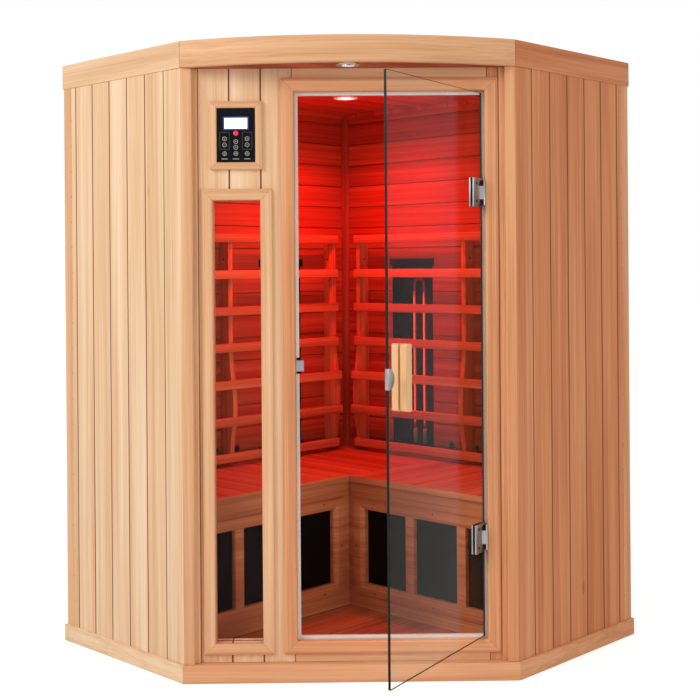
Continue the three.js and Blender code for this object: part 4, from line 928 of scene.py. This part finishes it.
# Reach and gap of the painted glow round the display, in metres
SCREEN_GLOW_REACH, SCREEN_GLOW_GAP = 0.0042, 0.0004
INDICATOR_Z, INDICATOR_SIDES = 1.6275, 32
INDICATOR_PROFILE = ((0, 0.0011), (0.004, 0.001), (0.0068, 0.0007), (0.0075, -0.0001), (0, -0.0001))
KEY_KINDS = ("plus", "minus", "lamp", "plus", "minus", "power", "plus", "minus", "clock")
# Signs in metres from the middle of the key: rings as height, outer and inner radius
SIGN_RINGS = {
    "power": (0.0, 0.0026, 0.0019),
    "lamp": (0.0006, 0.0022, 0.0015),
    "clock": (0.0, 0.0028, 0.0022),
}
# Bars as left, right, low and high
SIGN_BARS = {
    "plus": ((-0.0026, 0.0026, -0.0004, 0.0004), (-0.0004, 0.0004, 0.0004, 0.0026),
             (-0.0004, 0.0004, -0.0026, -0.0004)),
    "minus": ((-0.0026, 0.0026, -0.0004, 0.0004),),
    "power": ((-0.0003, 0.0003, 0.0004, 0.0036),),
    "lamp": ((-0.0009, 0.0009, -0.0030, -0.0022),),
    "clock": ((-0.0003, 0.0003, 0.0, 0.0019), (0.0003, 0.0016, -0.0003, 0.0003)),
}
refined("control_faceplate", PANEL_BLACK, 0.0006)
dress("control_display", SCREEN)


def add_ring(bm, x, z, y, outer, inner, steps):
    profile = ((inner, -PRINT_SINK), (outer, -PRINT_SINK), (outer, PRINT), (inner, PRINT),
               (inner, -PRINT_SINK))
    add_lathe(bm, profile, facing((0, -1, 0), (x, y, z)), steps)


def add_bar(bm, x0, x1, z0, z1, y):
    add_box(bm, (x0, y - PRINT, z0), (x1, y + PRINT_SINK, z1))


def add_outline(bm, x0, x1, z0, z1, line, y):
    """Four bars round a rectangle, inside its edge."""
    for left, right in ((x0, x0 + line), (x1 - line, x1)):
        add_bar(bm, left, right, z0, z1, y)
    for low, high in ((z0, z0 + line), (z1 - line, z1)):
        add_bar(bm, x0 + line, x1 - line, low, high, y)


def add_sign(bm, kind, x, z, y):
    if kind in SIGN_RINGS:
        up, outer, inner = SIGN_RINGS[kind]
        add_ring(bm, x, z + up, y, outer, inner, SIGN_STEPS)
    for left, right, low, high in SIGN_BARS[kind]:
        add_bar(bm, x + left, x + right, z + low, z + high, y)


def make_keys():
    for i, kind in enumerate(KEY_KINDS, 1):
        node = f"control_key_{i}"
        low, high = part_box(node)
        x, z = (low.x + high.x) / 2, (low.z + high.z) / 2
        refined(node, KEY_BLACK, KEY_EDGE, f"key_{i}", 2, 40)
        bm = bmesh.new()
        add_ring(bm, x, z, low.y + KEY_RING_SINK, KEY_RING_OUTER, KEY_RING_INNER, RING_STEPS)
        add_sign(bm, kind, x, z, low.y + KEY_SIGN_SINK)
        new_piece(f"key_{i}_mark", finish_normals(bm), MARK, f"key_{i}", smooth=False)


def make_panel_graphics():
    bm = bmesh.new()
    for x in (PANEL_X - COLUMN, PANEL_X + COLUMN):
        add_outline(bm, x - RULE_HALF, x + RULE_HALF, PANEL_Z + RULE_LOW, PANEL_Z + RULE_HIGH,
                    RULE_LINE, PLATE_Y)
    new_piece("panel_rules", finish_normals(bm), RULE, BODY, smooth=False)
    bm = bmesh.new()
    for x in (PANEL_X - COLUMN, PANEL_X, PANEL_X + COLUMN):
        add_bar(bm, x - BAR_HALF, x + BAR_HALF, PANEL_Z + BAR_LOW, PANEL_Z + BAR_HIGH, PLATE_Y)
    new_piece("panel_print", finish_normals(bm), MARK, BODY, smooth=False)
    # Painted light: glowing bars on the faceplate round the display
    bm = bmesh.new()
    low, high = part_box("control_display")
    reach = SCREEN_GLOW_REACH
    add_outline(bm, low.x - reach, high.x + reach, low.z - reach, high.z + reach,
                reach - SCREEN_GLOW_GAP, PLATE_Y)
    new_piece("display_painted_glow", finish_normals(bm), SCREEN_PAINTED_GLOW, BODY, smooth=False)
    bm = bmesh.new()
    at = (PANEL_X, PLATE_Y, INDICATOR_Z)
    add_lathe(bm, INDICATOR_PROFILE, facing((0, -1, 0), at), INDICATOR_SIDES)
    new_piece("panel_indicator", finish_normals(bm), INDICATOR, BODY)


make_keys()
make_panel_graphics()

# Stage
WHITE = (1, 1, 1, 1)
FLOOR_REACH, FLOOR_DROP, FLOOR_MOTTLE, FLOOR_ROUGH, FLOOR_GLOW = 30.0, 0.0005, 3.0, 0.9, 0.62
FLOOR_DARK, FLOOR_LIGHT = shaded(WHITE, 0.78), shaded(WHITE, 0.80)
WORLD_TINT, WORLD_LIGHT = (1.0, 0.96, 0.92, 1), 0.55


def make_stage():
    bm = bmesh.new()
    corners = ((-1, -1), (1, -1), (1, 1), (-1, 1))
    bm.faces.new([bm.verts.new((x * FLOOR_REACH, y * FLOOR_REACH, -FLOOR_DROP)) for x, y in corners])
    mesh = bpy.data.meshes.new("floor")
    bm.to_mesh(mesh)
    bm.free()
    floor = bpy.data.objects.new("floor", mesh)
    bpy.context.scene.collection.objects.link(floor)
    s = Shader("floor_white")
    mottle = s.noise(s.place(), FLOOR_MOTTLE)
    s.set(Base_Color=s.shades(mottle, FLOOR_DARK, FLOOR_LIGHT), Roughness=FLOOR_ROUGH)
    glow = s.node("Emission")
    glow.inputs[0].default_value = WHITE
    s.link(s.math("MULTIPLY", s.seen(), FLOOR_GLOW), glow.inputs[1])
    both = s.node("AddShader")
    s.link(s.surface.outputs[0], both.inputs[0])
    s.link(glow.outputs[0], both.inputs[1])
    s.link(both.outputs[0], s.output.inputs["Surface"])
    mesh.materials.append(s.material)


def make_world():
    """A dim warm light all round, seen as plain white."""
    world = bpy.data.worlds.new("studio")
    world.use_nodes = True
    n = Nodes(world.node_tree)
    out = n.node("OutputWorld")
    dim = n.node("Background")
    dim.inputs[0].default_value = WORLD_TINT
    dim.inputs[1].default_value = WORLD_LIGHT
    white = n.node("Background")
    white.inputs[0].default_value = WHITE
    either = n.node("MixShader")
    n.link(n.seen(), either.inputs[0])
    n.link(dim.outputs[0], either.inputs[1])
    n.link(white.outputs[0], either.inputs[2])
    n.link(either.outputs[0], out.inputs[0])
    bpy.context.scene.world = world


make_stage()
make_world()

# Lamps of the studio, and the red ones of the cabin
DAYLIGHT, WARM, RED = (1.0, 0.99, 0.97), (1.0, 0.87, 0.74), (1.0, 0.012, 0.006)
SPOT_RADIUS = 0.04
TUBE_LAMP_IN, TUBE_LAMP_TARGET, TUBE_LAMP_UP = 0.012, 0.6, 0.88


def place_lamp(name, light, at, target, power, colour, mirrored):
    """A lamp that lights the scene without showing in it. Mirrored ones leave highlights."""
    light.energy = power
    light.color = colour
    lamp = bpy.data.objects.new(name, light)
    lamp.location = at
    lamp.rotation_euler = (Vector(target) - Vector(at)).to_track_quat("-Z", "Y").to_euler()
    lamp.visible_camera = False
    lamp.visible_transmission = False
    lamp.visible_glossy = mirrored
    bpy.context.scene.collection.objects.link(lamp)


def add_panel_lamp(name, at, target, size, power, colour, mirrored=True):
    light = bpy.data.lights.new(name, "AREA")
    light.shape = "DISK"
    light.size = size
    place_lamp(name, light, at, target, power, colour, mirrored)


def add_downlight(name, at, target, cone, power, colour):
    light = bpy.data.lights.new(name, "SPOT")
    light.spot_size = math.radians(cone)
    light.spot_blend = 1.0
    light.shadow_soft_size = SPOT_RADIUS
    place_lamp(name, light, at, target, power, colour, False)


def add_room_glow(name, at, radius, power, colour):
    light = bpy.data.lights.new(name, "POINT")
    light.shadow_soft_size = radius
    place_lamp(name, light, at, (0, 0, 0), power, colour, False)


add_panel_lamp("key", at=(-3.6, -3.0, 3.4), target=(0, 0, 1.1), size=2.4, power=118, colour=DAYLIGHT)
add_panel_lamp("fill", at=(3.0, -4.4, 2.0), target=(0, 0, 0.8), size=2.6, power=48, colour=WARM)
add_downlight("ceiling_red", at=(0, 0.3599, 1.815), target=(0, 0.36, 0.5), cone=150, power=38, colour=RED)
add_room_glow("room_red", at=(0, 0.2, 1.52), radius=0.15, power=6.5, colour=RED)
for side in SIDES:
    middle = wing(side) @ Vector((TUBE_AT, TUBE_LAMP_IN, TUBE_LAMP_UP))
    room = wing(side) @ Vector((TUBE_AT, TUBE_LAMP_TARGET, TUBE_LAMP_UP))
    add_panel_lamp(side + "_tube_red", middle, room, size=0.3, power=0.8, colour=RED, mirrored=False)

# Camera, fitted to the photo: picture size and focal length in pixels, row of the horizon, eye
PICTURE, FOCAL, HORIZON, SENSOR = 700, 1227.44, 265.55, 36
EYE = (-0.03873, -4.07368, 1.23269)
YAW, ROLL = 0.0114, 0.0073
camera = bpy.data.cameras.new("camera")
camera.lens = FOCAL / PICTURE * SENSOR
camera.sensor_width = SENSOR
camera.shift_y = (HORIZON - PICTURE / 2) / PICTURE
camera.clip_end = 100
viewer = bpy.data.objects.new("camera", camera)
ahead = Vector((math.sin(YAW), math.cos(YAW), 0))
level = Vector((math.cos(YAW), -math.sin(YAW), 0))
right = level * math.cos(ROLL) - Vector((0, 0, math.sin(ROLL)))
upward = Vector((0, 0, math.cos(ROLL))) + level * math.sin(ROLL)
turn = Matrix((right, upward, -ahead)).transposed().to_4x4()
viewer.matrix_world = Matrix.Translation(EYE) @ turn
bpy.context.scene.collection.objects.link(viewer)
bpy.context.scene.camera = viewer
bpy.context.scene.view_settings.view_transform = "Standard"
